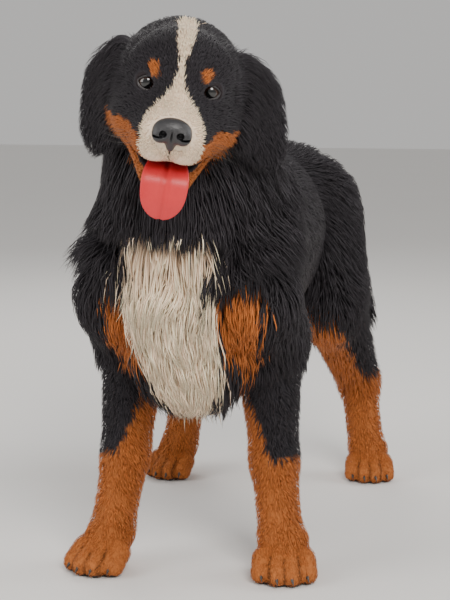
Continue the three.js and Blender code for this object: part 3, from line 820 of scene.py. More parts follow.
def skin_material():
    shader = Shader("skin_under_coat")
    base = shader.markings()
    grain = shader.noise(900, 3)
    streaks = shader.noise(260, 2)
    return shader.finish(
        Base_Color=shader.mix(0.5, base, shader.mix(streaks, (0.2, 0.2, 0.2), (1.2, 1.2, 1.2)), "MULTIPLY"),
        Roughness=grain * 0.2 + 0.6,
        Normal=shader.bump(grain + streaks, 0.6, 0.0012),
        Specular_IOR_Level=0.18,
    )


def coat_material():
    shader = Shader("combed_coat")
    base = shader.markings()
    drift = shader.noise(9, 3)
    strand = shader.noise(420, 2)
    tone = shader.mix(drift * 0.5 + strand * 0.35, (0.80, 0.77, 0.75), (1.22, 1.2, 1.18))
    return shader.finish(
        Base_Color=shader.mix(1.0, base, tone, "MULTIPLY"),
        Roughness=strand * 0.22 + 0.42,
        Specular_IOR_Level=0.22,
    )


def leather_material(name, colour, roughness, pebble):
    shader = Shader(name)
    ridge = shader.cells(pebble, "DISTANCE_TO_EDGE").math("MINIMUM", 0.25)
    dark, light = np.array(colour) * 0.6, np.array(colour) * 1.5
    shine = {"Specular_IOR_Level": 0.6, "Coat_Weight": 0.12, "Coat_Roughness": 0.25}
    bumps = shader.bump(ridge, 0.5, 0.0012)
    return shader.grained(pebble * 0.3, 3, dark, light, 0.2, roughness, Normal=bumps, **shine)


def tongue_material():
    shader = Shader("wet_tongue")
    buds = shader.bump(shader.cells(900), 0.35, 0.0006)
    dark, light = (0.52, 0.014, 0.020), (0.68, 0.030, 0.034)
    return shader.grained(45, 3, dark, light, 0.15, 0.36, Normal=buds, Coat_Weight=0.1, Coat_Roughness=0.25)


def eye_material(side, name):
    """Dark brown iris round a black pupil, by the distance from the line of sight."""
    shader = Shader(f"eye_{name}")
    from_centre = shader.vector("SUBTRACT", [shader.place(), tuple(map(float, to_metres(EYES[side])))])
    outward = shader.vector("NORMALIZE", [from_centre])
    facing = shader.vector("DOT_PRODUCT", [outward, tuple(map(float, gaze(side)))], "Value")
    stops = [
        (0.0, (0.30, 0.24, 0.21)),
        (0.50, (0.26, 0.20, 0.17)),
        (0.56, (0.006, 0.003, 0.003)),
        (0.68, (0.050, 0.017, 0.006)),
        (0.84, (0.024, 0.009, 0.004)),
        (0.87, (0.001, 0.001, 0.001)),
    ]
    iris = shader.node("ShaderNodeValToRGB", {"stops": stops}, [facing])
    fibres = shader.noise(1800, 3)
    streaks = shader.mix(fibres, (0.4, 0.4, 0.4), (1, 1, 1))
    return shader.finish(
        Base_Color=shader.mix(0.3, iris, streaks, "MULTIPLY"),
        Roughness=fibres * 0.03 + 0.05,
        Coat_Weight=1.0,
        Coat_Roughness=0.02,
        IOR=1.4,
    )


def horn_material():
    dark, light = (0.02, 0.016, 0.014), (0.075, 0.06, 0.05)
    return Shader("dark_claw").grained(700, 3, dark, light, 0.2, 0.3, Coat_Weight=0.2)


def whisker_material():
    return Shader("whisker").grained(300, 2, (0.03, 0.03, 0.03), (0.09, 0.085, 0.08), 0.1, 0.4)


def floor_material(tone):
    return Shader("studio_floor").grained(1.2, 2, np.array(tone) * 0.985, np.array(tone) * 1.01, 0.05, 0.75)


# Repeats, made with geometry nodes


def taper_nodes(name, material):
    """A node group that puts a curved taper at each point, turned to its aim and sized."""
    tree = bpy.data.node_groups.new(name + "_repeat", "GeometryNodeTree")
    tree.interface.new_socket("Geometry", in_out="INPUT", socket_type="NodeSocketGeometry")
    named = ("Length", "Width", "Bend")
    sockets = [tree.interface.new_socket(n, in_out="INPUT", socket_type="NodeSocketFloat") for n in named]
    tree.interface.new_socket("Geometry", in_out="OUTPUT", socket_type="NodeSocketGeometry")

    def add(kind, inputs=(), output=0, **settings):
        return add_node(tree, kind, settings, inputs).outputs[output]

    inputs = tree.nodes.new("NodeGroupInput").outputs
    third = add("ShaderNodeMath", [inputs["Length"], 0.45], operation="MULTIPLY")
    handle = add("ShaderNodeCombineXYZ", {"Z": third})
    end = add("ShaderNodeCombineXYZ", {"X": inputs["Bend"], "Z": inputs["Length"]})
    bend = {"Resolution": 6, "Start": (0, 0, 0), "Start Handle": handle, "End Handle": handle, "End": end}
    line = add("GeometryNodeCurvePrimitiveBezierSegment", bend, mode="POSITION")
    along = add("GeometryNodeSplineParameter", output="Factor")
    taper = add("ShaderNodeMath", [1.02, along], operation="SUBTRACT")
    root = add("ShaderNodeMath", [taper, 0.6], operation="POWER")
    radius = add("ShaderNodeMath", [root, inputs["Width"]], operation="MULTIPLY")
    profile = add("GeometryNodeCurvePrimitiveCircle", {"Resolution": 7, "Radius": 1.0})
    sweep = {"Curve": line, "Profile Curve": profile, "Scale": radius, "Fill Caps": True}
    solid = add("GeometryNodeCurveToMesh", sweep)
    aim = add("GeometryNodeInputNamedAttribute", {"Name": "aim"}, "Attribute", data_type="FLOAT_VECTOR")
    size = add("GeometryNodeInputNamedAttribute", {"Name": "size"}, "Attribute", data_type="FLOAT")
    turn = add("FunctionNodeAlignRotationToVector", {"Vector": aim}, axis="Z")
    copy = {"Points": inputs["Geometry"], "Instance": solid, "Rotation": turn, "Scale": size}
    real = add("GeometryNodeRealizeInstances", [add("GeometryNodeInstanceOnPoints", copy)])
    smooth = add("GeometryNodeSetShadeSmooth", [real])
    finish = add("GeometryNodeSetMaterial", {"Geometry": smooth, "Material": material})
    tree.links.new(finish, tree.nodes.new("NodeGroupOutput").inputs["Geometry"])
    return tree, sockets


def scattered(name, copies, material, sizes):
    """Tapers at (point, aim, size) copies, as a plain mesh. Sizes are length, width and bend in metres."""
    seeds = bpy.data.meshes.new(name + "_seeds")
    seeds.from_pydata([tuple(to_metres(p)) for p, _, _ in copies], [], [])
    for key, kind, field, column in (("aim", "FLOAT_VECTOR", "vector", 1), ("size", "FLOAT", "value", 2)):
        values = np.array([c[column] for c in copies], np.float32)
        seeds.attributes.new(key, kind, "POINT").data.foreach_set(field, values.ravel())
    item = bpy.data.objects.new(name, seeds)
    bpy.context.scene.collection.objects.link(item)
    tree, sockets = taper_nodes(name, material)
    modifier = item.modifiers.new("repeat", "NODES")
    modifier.node_group = tree
    for socket, value in zip(sockets, sizes):
        modifier[socket.identifier] = value
    evaluated = item.evaluated_get(bpy.context.evaluated_depsgraph_get())
    plain = bpy.data.meshes.new_from_object(evaluated)
    item.modifiers.remove(modifier)
    item.data = plain
    return item


def claim(item, slot, *nodes, material=None):
    """Gives a piece its material, rides it on the frame, and hides the solids it stands for. The slot is not
    used.
    """
    if material:
        item.data.materials.append(material)
    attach(item, "root")
    if nodes:
        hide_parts(*nodes)


# Settings


class DogCoat(bpy.types.PropertyGroup):
    """How dense, how full and what colours the coat is"""

    long_density: FloatProperty(name="Long coat", description="Tufts to a square centimetre", default=5.16)
    short_density: FloatProperty(name="Short coat", description="Tufts to a square centimetre", default=10)
    face_density: FloatProperty(name="Face", description="Tufts to a square centimetre", default=26.0)
    fullness: FloatProperty(name="Fullness", description="Share of the coat's depth at the tips", default=1.0)
    locks: IntProperty(name="Locks", description="Locks that the long tufts gather into", default=1500)
    black: FloatVectorProperty(
        name="Black", description="The coat's main colour", subtype="COLOR", default=(0.030, 0.027, 0.032)
    )
    rust: FloatVectorProperty(
        name="Rust", description="Brows, cheeks, chest and legs", subtype="COLOR", default=(0.475, 0.148, 0.036)
    )
    cream: FloatVectorProperty(
        name="White", description="Blaze, bib and tail tip", subtype="COLOR", default=(0.960, 0.760, 0.570)
    )


class DogFace(bpy.types.PropertyGroup):
    """The nose, the whiskers and the claws"""

    whisker_length: FloatProperty(name="Whiskers", description="The longest", default=0.05, unit="LENGTH")
    nose_colour: FloatVectorProperty(
        name="Nose", description="Nose leather", subtype="COLOR", default=(0.015, 0.014, 0.016)
    )
    claw_length: FloatProperty(name="Claws", description="Each claw, root to tip", default=0.019, unit="LENGTH")


class DogStage(bpy.types.PropertyGroup):
    """The camera and the studio"""

    azimuth: FloatProperty(name="Azimuth", description="Turn to the dog's left, in degrees", default=13.7)
    elevation: FloatProperty(name="Elevation", description="Height angle, in degrees", default=8.0)
    distance: FloatProperty(name="Distance", description="Camera to the dog", default=2.493, unit="LENGTH")
    floor_tone: FloatVectorProperty(
        name="Floor", description="Floor colour", subtype="COLOR", default=(0.80, 0.785, 0.765)
    )


# Pieces


BODY_PITCH, LEG_PITCH, FACE_PITCH = 9.1, 4.5, 2.64
LOWEST_SKIN = 0.4


class DOG_OT_skin(bpy.types.Operator):
    """One skin over the whole body"""

    bl_idname = "dog.skin"
    bl_label = "Skin"

    def execute(self, context):
        coarse = 1.0
        floor_margin = -4
        shells = [(BODY, group_field(BODY, 20), BODY_PITCH)]
        shells += [(leg, group_field(leg, 10), LEG_PITCH) for leg in LEGS]
        shells.append((FACE, face_field, FACE_PITCH))
        vertices, faces, count = [], [], 0
        for flesh, field, pitch in shells:
            low, high = reach_of(flesh)
            low[2] = max(low[2], floor_margin)
            points, triangles = surface_of(field, low, high, pitch * coarse)
            points[:, 2] = np.maximum(points[:, 2], LOWEST_SKIN)
            vertices.append(points)
            faces.append(triangles + count)
            count += len(points)
        vertices, faces = np.concatenate(vertices), np.concatenate(faces)
        skin = mesh_object("skin", vertices, faces)
        group = survey(vertices)[2]
        paint(skin, self.colours(vertices, group))
        places = unwrap(vertices, group)[faces]
        widest = 0.05
        torn = (places.max(1) - places.min(1) > widest).any(1)
        places[torn] = places[torn][:, :1] + np.array([[0, 0], [0.001, 0], [0, 0.001]])
        add_uv(skin, places)
        flesh_nodes = [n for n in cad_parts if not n.startswith(("eye", "nose", "tongue"))]
        claim(skin, "black_coat", *flesh_nodes, material=skin_material())
        return {"FINISHED"}

    def colours(self, points, group):
        """The coat's markings, with dark lips, lids and pads, and the mouth's lining."""
        colour = coat_colour(points, group)
        local = placed(FROM_HEAD, points)
        face = of_face(group)
        gap = mouth_opening(local)
        colour[face & (gap < 3.0)] = COLOURS["lip"]
        colour[face & (gap < 1.0) & (np.abs(local[:, 0]) < 25) & (local[:, 1] > -134)] = COLOURS["mouth"]
        for eye in EYES_LOCAL.values():
            colour[face & (np.linalg.norm(local - eye, axis=1) < EYE_RADIUS + 3.6)] = COLOURS["lip"]
        colour[(group == "paw") & (points[:, 2] < 5)] = COLOURS["pad"]
        return colour


def sample_roots(skin, density, rng):
    """Random roots on the skin. Density gives tufts to a square millimetre, by group and depth."""
    mesh = skin.data
    co = np.zeros(len(mesh.vertices) * 3, np.float32)
    mesh.vertices.foreach_get("co", co)
    co = co.reshape(-1, 3) / MM + MIDDLE
    index = np.zeros(len(mesh.polygons) * 3, np.int32)
    mesh.polygons.foreach_get("vertices", index)
    corner = co[index.reshape(-1, 3)]
    normal = np.cross(corner[:, 1] - corner[:, 0], corner[:, 2] - corner[:, 0])
    area = np.linalg.norm(normal, axis=1) / 2
    centre = corner.mean(1)
    near, hair, group, _ = survey(centre)
    deepest = -5
    total = rng.poisson(area * density(group, hair, centre) * (near > deepest))
    face = np.repeat(np.arange(len(total)), total)
    a, b = rng.random((2, len(face)))
    flip = a + b > 1
    a[flip], b[flip] = 1 - a[flip], 1 - b[flip]
    c = corner[face]
    roots = c[:, 0] + a[:, None] * (c[:, 1] - c[:, 0]) + b[:, None] * (c[:, 2] - c[:, 0])
    facing = normal[face] / np.maximum(2 * area[face][:, None], 1e-9)
    return roots, facing


def lay_hair(roots, facing, flow, length, depth):
    """Each hair's four points: it follows its flow over the skin, rising to its depth."""
    path = [roots - facing * 1.0]
    place = roots.copy()
    normal = facing
    for rise in (0.55, 0.9, 1.0):
        along = unit(flow - normal * (0.85 * np.einsum("ij,ij->i", flow, normal))[:, None])
        place = place + along * (length / 3)[:, None]
        height, normal = slopes(place)
        short = np.clip(depth * rise - height, -25, 40)
        short = np.where(short > 0, short, short * 0.5)
        place = place + normal * short[:, None]
        path.append(place)
    return np.stack(path, axis=1)


def gather_locks(path, roots, hair, most, rng):
    """Draws the long hairs' tips together into locks."""
    long = hair > 16
    guides = rng.choice(np.flatnonzero(long), min(most, long.sum()), replace=False)
    tree = KDTree(len(guides))
    for index, guide in enumerate(guides):
        tree.insert(roots[guide], index)
    tree.balance()
    nearest = np.array([guides[tree.find(root)[1]] for root in roots[long]])
    gather = np.interp(hair[long], [20, 50], [0.45, 0.85]) * rng.uniform(0.3, 1.1, long.sum())
    pull = np.array([0.0, 0.22, 0.55, 0.86])[None, :, None] * gather[:, None, None]
    path[long] = path[long] * (1 - pull) + path[nearest] * pull


def tuft_mesh(path, facing, width, rings, pointed):
    """Three-sided tapered tufts along paths. Rings are (point of the path, share of the width)."""
    direction = path[:, 3] - path[:, 0]
    across = unit(np.cross(direction, facing))
    up = unit(np.cross(across, direction))
    first = 1 if pointed else 0
    tip = first + 3 * len(rings)
    vertices = np.zeros((len(path), tip + 1, 3))
    vertices[:, 0], vertices[:, tip] = path[:, 0], path[:, 3]
    for ring, (row, share) in enumerate(rings):
        half = (width * share / 2)[:, None]
        for k, away in enumerate((-across, across, up * 0.8)):
            vertices[:, first + ring * 3 + k] = path[:, row] + away * half
    faces = [] if pointed else [(0, 2, 1)]
    for k in range(3):
        n = (k + 1) % 3
        if pointed:
            faces.append((0, first + n, first + k))
        for ring in range(len(rings) - 1):
            a, b = first + ring * 3 + k, first + ring * 3 + n
            faces += [(a, b, b + 3), (a, b + 3, a + 3)]
        faces.append((tip - 3 + k, tip - 3 + n, tip))
    faces = facing_out(vertices[0], np.array(faces))
    every = (faces[None] + (tip + 1) * np.arange(len(path))[:, None, None]).reshape(-1, 3)
    return vertices, every


# Tufts: rings of (point of the path, share of the width), whether the root is a point, and tufts to a piece
LONG_TUFT = (((0, 0.75), (1, 1.0), (2, 0.72)), False, 12000)
SHORT_TUFT = (((1, 1.0),), True, 30000)
LONGEST_ON_FACE = 19
LOWEST_HAIR = 1.5


class DOG_OT_coat(bpy.types.Operator):
    """Tufts of hair over the whole body, longest on the ruff, bib, breeches and tail"""

    bl_idname = "dog.coat"
    bl_label = "Coat"

    def execute(self, context):
        settings = context.scene.dog_coat
        rng = np.random.default_rng(42)
        thin = 1.0

        def density(group, hair, centre):
            values = [settings.short_density, 8.5, settings.long_density, settings.long_density * 1.5]
            value = np.interp(hair, [3, 9, 20, 46], values) / 100
            value = np.where(of_face(group), settings.face_density / 100, value)
            return np.where((group == "paw") & (centre[:, 2] < 4), 0, value) * thin

        roots, facing = sample_roots(bpy.data.objects["skin"], density, rng)
        _, hair, group, flow = survey(roots)
        local = placed(FROM_HEAD, roots)
        face = of_face(group)
        gap = mouth_opening(local)
        bare = face & ((gap < 2.6) | lip_split(local, 1.2))
        nose_bed = face & (ellipsoid(local, point(0, MUZZLE_TIP - 4, -20), (26, 20, 19)) < 0)
        lids = np.full(len(roots), 50.0)
        for eye in EYES_LOCAL.values():
            opening = ellipsoid(local, eye + point(0, -EYE_RADIUS, 0.4), (11.2, 16, 8.7))
            lids = np.minimum(lids, np.where(face, opening, 50.0))
        keep = ~(bare | nose_bed | (lids < 0))
        every = (roots, facing, hair, group, flow, local, face, np.minimum(lids, gap - 2))
        roots, facing, hair, group, flow, local, face, clear = (a[keep] for a in every)
        count = len(roots)
        flow = unit(flow) + rng.normal(0, 0.13, (count, 3))
        length, depth = self.sizes(roots, facing, hair, group, local, clear, settings.fullness, rng)
        path = lay_hair(roots, facing, flow, length, depth)
        gather_locks(path, roots, hair, settings.locks, rng)
        path[..., 2] = np.maximum(path[..., 2], LOWEST_HAIR)
        width = (1.0 + 0.05 * np.minimum(hair, 34)) * rng.uniform(0.8, 1.2, count)
        width = np.where(face, np.clip(width * 0.8, 0.7, 1.5), width)
        stray = rng.normal(0, 1.0, (count, 3)) * np.where(face, 0.6, 2.0)[:, None]
        colour = coat_colour(roots + stray, group)
        pale = colour[:, :1] > 0.6
        tone = np.where(pale, rng.uniform(0.9, 1.08, (count, 1)), rng.uniform(0.78, 1.22, (count, 1)))
        torso = group == "torso"
        chest = roots[:, 1] < -180
        zones = {
            "coat_face": (face & (length <= LONGEST_ON_FACE), SHORT_TUFT),
            "coat_crown": (face & (length > LONGEST_ON_FACE), LONG_TUFT),
            "coat_legs": (np.isin(group, ["foreleg", "shank", "paw"]), SHORT_TUFT),
            "coat_ears": (group == "ear", LONG_TUFT),
            "coat_ruff": (group == "neck", LONG_TUFT),
            "coat_chest": (torso & chest, LONG_TUFT),
            "coat_back": (torso & ~chest, LONG_TUFT),
            "coat_breeches": (group == "thigh", LONG_TUFT),
            "coat_tail": (group == "tail", LONG_TUFT),
        }
        tufts = (path, facing, width, colour * tone, unwrap(roots, group))
        material = coat_material()
        for name, (mine, tuft) in zones.items():
            chosen = np.flatnonzero(mine)
            pieces = max(1, math.ceil(len(chosen) / tuft[2]))
            for piece in range(pieces):
                part = [a[chosen[piece::pieces]] for a in tufts]
                item = self.tuft_piece(f"{name}_{piece + 1}" if pieces > 1 else name, tuft, *part)
                claim(item, "rust_coat" if name == "coat_legs" else "black_coat", material=material)
        return {"FINISHED"}

    def sizes(self, roots, facing, hair, group, local, clear, fullness, rng):
        """Each tuft's length, and the depth that its tip reaches."""
        count = len(roots)
        face = of_face(group)
        paw = group == "paw"
        limb = np.isin(group, ["foreleg", "shank", "paw"])
        length = np.where(limb, 4 + 1.5 * hair, 9 + 2.15 * hair)
        length = np.where(face, 3.2 + 1.15 * hair, length)
        length = np.where(group == "ear", 9 + 2.6 * hair, length)
        # Longer above the toes, on the crown, at the ears' roots and behind the forelegs
        above_toes = np.clip(roots[:, 2] - 22, 0, 50) * paw
        crown = np.where(group == "head", np.clip((local[:, 1] + 52) / 90, 0, 1), 0)
        ear_root = np.zeros(count)
        for flesh in FACE[2:]:
            in_ear = placed(flesh.inverse, roots)
            near_root = np.clip((in_ear[:, 2] + 46) / 46, 0, 1) * (np.linalg.norm(in_ear, axis=1) < 62)
            ear_root = np.maximum(ear_root, near_root)
        shaggy = np.maximum(crown, ear_root * np.isin(group, ["head", "ear"]))
        feather = np.where(group == "foreleg", np.clip(facing[:, 1] - 0.2, 0, 0.6) / 0.6, 0)
        feather *= np.clip((roots[:, 2] - 90) / 60, 0, 1)
        length = length + 0.16 * above_toes + 26 * shaggy + 24 * feather
        length = np.where(face, np.minimum(length, 5.2 + 0.9 * np.clip(clear, 0, 40)), length)
        # Short enough over the bib to leave it clear, with a ragged lower edge
        over_bib = np.isin(group, ["neck", "torso"]) & (np.abs(roots[:, 0] + 20) < 84)
        over_bib &= (roots[:, 1] < -230) & (roots[:, 2] > 566)
        to_bib = (roots[:, 2] - 544) * 1.15 + rng.uniform(4, 28, count)
        length = np.where(over_bib, np.minimum(length, to_bib), length)
        length *= rng.uniform(0.72, 1.08, count)
        depth = hair * rng.uniform(0.45, 1.0, count) ** 0.7 * fullness * 0.92
        depth = np.where(face | paw, depth * 0.5 + 0.4, depth + 1.0) + 5 * shaggy * rng.random(count)
        return length, depth + 0.045 * above_toes + 9 * feather * rng.random(count)

    def tuft_piece(self, name, tuft, path, facing, width, colour, places):
        """One joined piece of tufts, each a patch of the unwrap, with painted shade that darkens each tuft
        towards its roots and lightens it towards its tip.
        """
        patch = 0.003
        rings, pointed, _ = tuft
        vertices, faces = tuft_mesh(path, facing, width, rings, pointed)
        size = vertices.shape[1]
        item = mesh_object(name, vertices.reshape(-1, 3), faces)
        # painted shade: each tuft darkens towards its roots, where the coat shades itself, and lightens towards
        # its tip
        colour_with_root_shade = colour[:, None, :] * np.linspace(0.8, 1.2, size)[None, :, None]
        paint(item, np.minimum(colour_with_root_shade, 1.0).reshape(-1, 3))
        spots = np.array([(k % 3 / 2 - 0.5, k // 3 / 3 - 0.5) for k in range(size)]) * patch
        add_uv(item, (places[:, None, :] + spots[None]).reshape(-1, 2)[faces])
        return item


class DOG_OT_eyes(bpy.types.Operator):
    """Glossy eyes in dark lids"""

    bl_idname = "dog.eyes"
    bl_label = "Eyes"

    def execute(self, context):
        radius = EYE_RADIUS * HEAD_SIZE
        rings, sides = 24, 36
        bulge, bulge_reach = 0.045, 0.75
        polar = math.pi * np.arange(1, rings) / rings
        dome = 1 + bulge * np.maximum(0, 1 - (polar / bulge_reach) ** 2)
        circle = around(sides)
        shell = [np.outer(np.sin(polar), np.cos(circle)), np.outer(np.sin(polar), np.sin(circle))]
        shell = np.stack([*shell, np.outer(np.cos(polar), np.ones(sides))], axis=2) * dome[:, None, None]
        poles = np.array([(0, 0, 1 + bulge), (0, 0, -1)])
        for side, name in SIDES:
            turn = np.array(Vector((0, 0, 1)).rotation_difference(Vector(gaze(side))).to_matrix())
            rounds, ends = (EYES[side] + radius * points @ turn.T for points in (shell, poles))
            eye = mesh_object(f"eyeball_{name}", *tube(rounds, ends))
            claim(eye, "eye", f"eye_{name}", material=eye_material(side, name))
            rim = mesh_object(f"lid_rim_{name}", *tube(self.rim(side)))
            lid_leather = leather_material(f"lid_leather_{name}", (0.016, 0.012, 0.013), 0.3, 900)
            claim(rim, "nose_leather", material=lid_leather)
        return {"FINISHED"}

    def rim(self, side):
        """Rings of a dark rim along the lids' almond opening."""
        rounds, sides = 48, 8
        half_wide, half_high, raised, slant = 10.2, 7.8, 0.4, 0.16
        rings = []
        for a in around(rounds):
            x = half_wide * math.cos(a)
            z = half_high * math.sin(a) * (1.0 - slant * math.cos(a) * side) + raised
            forward = math.sqrt(max((EYE_RADIUS + 0.8) ** 2 - x * x - z * z, 1))
            spot = point(x, -forward, z)
            outward, front = point(math.cos(a), 0, math.sin(a)), unit(spot)
            centre = EYES_LOCAL[side] + spot + outward * 0.8
            rings.append([centre + outward * 1.3 * math.cos(b) + front * math.sin(b) for b in around(sides)])
        return placed(HEAD, rings)


def nose_field(points):
    local = placed(FROM_HEAD, points)
    y0, z0 = MUZZLE_TIP - 4, -18
    near = ellipsoid(local, point(0, y0, z0 + 1), (23.5, 15, 15.5))
    near = smooth_union(near, ellipsoid(local, point(0, y0 + 3, z0 - 12), (6.5, 10.5, 13.5)), 6)
    for s in (1, -1):
        wing = ellipsoid(local, point(14 * s, y0 - 6, z0 - 4), (9.5, 8.5, 10))
        near = smooth_union(near, wing, 4)
        near = np.maximum(near, -ellipsoid(local, point(10.5 * s, y0 - 14, z0 - 1), (4.6, 8.5, 4.2)))
        slit = ellipsoid(local, point(17.5 * s, y0 - 10, z0 - 5.5), (8, 7, 1.7))
        near = np.maximum(near, -slit)
    groove = ellipsoid(local, point(0, y0 - 15.5, z0 - 12), (1.3, 5, 17))
    return np.maximum(near, -groove) * HEAD_SIZE


class DOG_OT_nose(bpy.types.Operator):
    """Pebbled nose leather with bored nostrils"""

    bl_idname = "dog.nose"
    bl_label = "Nose"

    def execute(self, context):
        low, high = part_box("nose")
        low = np.array(low) / MM + MIDDLE - 9
        high = np.array(high) / MM + MIDDLE + 14
        nose = mesh_object("nose_leather", *surface_of(nose_field, low, high, 0.8))
        pebbled = leather_material("nose_pebble", context.scene.dog_face.nose_colour, 0.28, 620)
        claim(nose, "nose_leather", "nose", material=pebbled)
        return {"FINISHED"}


class DOG_OT_tongue(bpy.types.Operator):
    """Tongue hanging over the jaw, grooved down its middle"""

    bl_idname = "dog.tongue"
    bl_label = "Tongue"

    def execute(self, context):
        line = [(-60, -72), (-100, -71), (-128, -74), (-147, -86), (-153, -110), (-151, -133)]
        line = np.array([(0, y, z) for y, z in line])
        steps, sides = 46, 40
        places = np.linspace(0, len(line) - 1, steps)
        centre = np.stack([np.interp(places, range(len(line)), line[:, k]) for k in range(3)], axis=1)
        for _ in range(4):
            centre[1:-1] = (centre[:-2] + 2 * centre[1:-1] + centre[2:]) / 4
        tangent = unit(np.gradient(centre, axis=0))
        flat = np.cross(tangent, point(1, 0, 0))
        rings = []
        for i, t in enumerate(np.linspace(0, 1, steps)):
            spread = min(t / 0.6, 1.0)
            widest = 16 + 13 * spread * spread * (3 - 2 * spread)
            rounded = math.sqrt(max(1 - (max(t - 0.62, 0) / 0.385) ** 2.4, 0.0))
            width = max(widest * rounded, 0.3)
            thick = (5.2 - 1.8 * t) * min(1.0, width / 9)
            ring = []
            for a in around(sides):
                x, body = math.cos(a), math.sin(a)
                groove = 3.4 * math.exp(-((x * width / 2.4) ** 2)) * min(1.0, width / 14) if body > 0 else 0.0
                cup = 2.6 * x * x
                ring.append(centre[i] + point(x * width, 0, 0) + flat[i] * (body * thick - groove + cup))
            rings.append(ring)
        ends = [centre[0], centre[-1] + tangent[-1] * 0.3]
        tongue = mesh_object("tongue_flesh", *tube(placed(HEAD, rings), placed(HEAD, ends)))
        claim(tongue, "tongue", "tongue", material=tongue_material())
        return {"FINISHED"}


class DOG_OT_claws(bpy.types.Operator):
    """Sixteen claws at the toes' ends"""

    bl_idname = "dog.claws"
    bl_label = "Claws"

    def execute(self, context):
        length = context.scene.dog_face.claw_length
        copies = []
        for _, paw in LEGS:
            for i in TOES:
                root = placed(paw.place, point(23 * i, -58 + 7 * i * i, 18))
                tip = placed(paw.place, point(24 * i, -76 + 7 * i * i, 9))
                copies.append((root, unit(tip - root), 1.0))
        claws = scattered("claws", copies, horn_material(), (length, 0.0046, 0.002))
        claim(claws, "nose_leather")
        return {"FINISHED"}


class DOG_OT_whiskers(bpy.types.Operator):
    """Whiskers on the lips"""

    bl_idname = "dog.whiskers"
    bl_label = "Whiskers"

    def execute(self, context):
        rng = np.random.default_rng(5)
        copies = []
        for side in (1, -1):
            for row in range(4):
                for k in range(5):
                    y = MUZZLE_TIP + 30 + 11 * k + rng.uniform(-2, 2)
                    z = -30 - 7 * row + rng.uniform(-1, 1)
                    centre = placed(HEAD, point(10 * side, y, z))
                    away = unit(HEAD[:3, :3] @ point(side, 0.25 + 0.1 * k, -0.25))
                    line = centre + np.arange(0, 60, 0.5)[:, None] * away
                    inside = FACE[0].read(line, 0.0)[0] < 0
                    root = line[np.flatnonzero(inside)[-1]] if inside.any() else centre
                    copies.append((root, away, float(rng.uniform(0.5, 1.0))))
        length = context.scene.dog_face.whisker_length
        whiskers = scattered("whiskers", copies, whisker_material(), (length, 0.00035, 0.008))
        claim(whiskers, "black_coat")
        return {"FINISHED"}


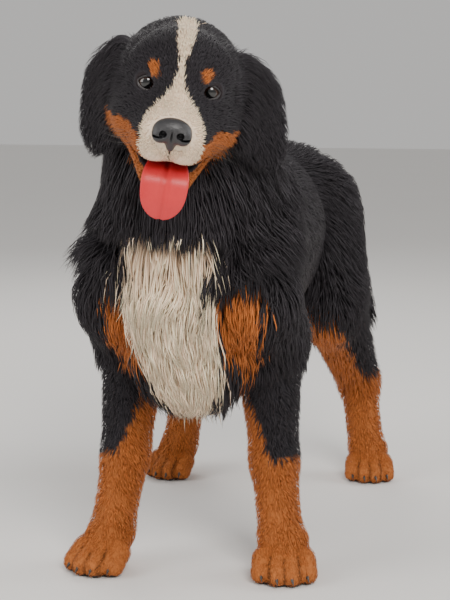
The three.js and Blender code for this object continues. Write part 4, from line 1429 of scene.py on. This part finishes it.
class DOG_OT_stage(bpy.types.Operator):
    """Pale floor, soft lights and the camera"""

    bl_idname = "dog.stage"
    bl_label = "Studio"

    def execute(self, context):
        settings = context.scene.dog_stage
        scene = context.scene
        target = Vector((0, -0.05, 0.42))
        a, e = math.radians(settings.azimuth), math.radians(settings.elevation)
        back = Vector((math.sin(a) * math.cos(e), -math.cos(a) * math.cos(e), math.sin(e)))
        camera = bpy.data.cameras.new("camera")
        focal_pixels, wide, tall = 1521.7, 450.0, 600.0
        centre_x, centre_y = 219.6, 290.8
        camera.sensor_fit = "AUTO"
        camera.sensor_width = 36
        camera.lens = focal_pixels / tall * camera.sensor_width
        camera.shift_x = -(centre_x - wide / 2) / tall
        camera.shift_y = (centre_y - tall / 2) / tall
        holder = bpy.data.objects.new("camera", camera)
        holder.location = target + back * settings.distance
        holder.rotation_euler = (-back).to_track_quat("-Z", "Y").to_euler()
        scene.collection.objects.link(holder)
        scene.camera = holder
        reach = 14.0
        corners = [(x * reach, y * reach, 0) for x, y in ((-1, -1), (1, -1), (1, 1), (-1, 1))]
        floor = bpy.data.meshes.new("floor")
        floor.from_pydata(corners, [], [(0, 1, 2, 3)])
        ground = bpy.data.objects.new("floor", floor)
        scene.collection.objects.link(ground)
        floor.materials.append(floor_material(settings.floor_tone))
        world = bpy.data.worlds.new("studio")
        scene.world = world
        world.use_nodes = True
        sky = world.node_tree.nodes["Background"].inputs
        sky["Color"].default_value = (1.0, 0.985, 0.965, 1)
        sky["Strength"].default_value = 0.55
        lights = (
            ("key", (1.5, -2.6, 2.6), 1.5, 105, (1.0, 0.97, 0.93)),
            ("fill", (-2.6, -1.8, 1.7), 2.2, 55, (1.0, 0.985, 0.965)),
            ("rim", (-1.2, 2.4, 2.4), 1.6, 28, (1.0, 0.98, 0.95)),
            ("side", (2.6, 1.2, 1.8), 1.6, 36, (1.0, 1.0, 1.0)),
        )
        for name, place, width, power, colour in lights:
            lamp = bpy.data.lights.new(name, "AREA")
            lamp.energy, lamp.size, lamp.color = power, width, colour
            item = bpy.data.objects.new(name, lamp)
            item.location = place
            item.rotation_euler = (Vector((0, 0, 0.4)) - Vector(place)).to_track_quat("-Z", "Y").to_euler()
            scene.collection.objects.link(item)
        return {"FINISHED"}


class DOG_PT_panel(bpy.types.Panel):
    """The dog's pieces and settings"""

    bl_idname = "DOG_PT_panel"
    bl_label = "Standing Dog"
    bl_space_type = "VIEW_3D"
    bl_region_type = "UI"
    bl_category = "Dog"

    def draw(self, context):
        layout = self.layout
        for operator in OPERATORS:
            layout.operator(operator.bl_idname)
        for name in ("dog_coat", "dog_face", "dog_stage"):
            box = layout.box()
            group = getattr(context.scene, name)
            for key in group.__annotations__:
                box.prop(group, key)


OPERATORS = (
    DOG_OT_stage,
    DOG_OT_skin,
    DOG_OT_eyes,
    DOG_OT_nose,
    DOG_OT_tongue,
    DOG_OT_claws,
    DOG_OT_whiskers,
    DOG_OT_coat,
)
CLASSES = (DogCoat, DogFace, DogStage, *OPERATORS, DOG_PT_panel)


def register():
    for each in CLASSES:
        bpy.utils.register_class(each)
    bpy.types.Scene.dog_coat = PointerProperty(type=DogCoat)
    bpy.types.Scene.dog_face = PointerProperty(type=DogFace)
    bpy.types.Scene.dog_stage = PointerProperty(type=DogStage)


def unregister():
    for name in ("dog_coat", "dog_face", "dog_stage"):
        delattr(bpy.types.Scene, name)
    for each in reversed(CLASSES):
        bpy.utils.unregister_class(each)


def main():
    register()
    for operator in OPERATORS:
        group, name = operator.bl_idname.split(".")
        getattr(getattr(bpy.ops, group), name)()


if __name__ == "__main__":
    main()
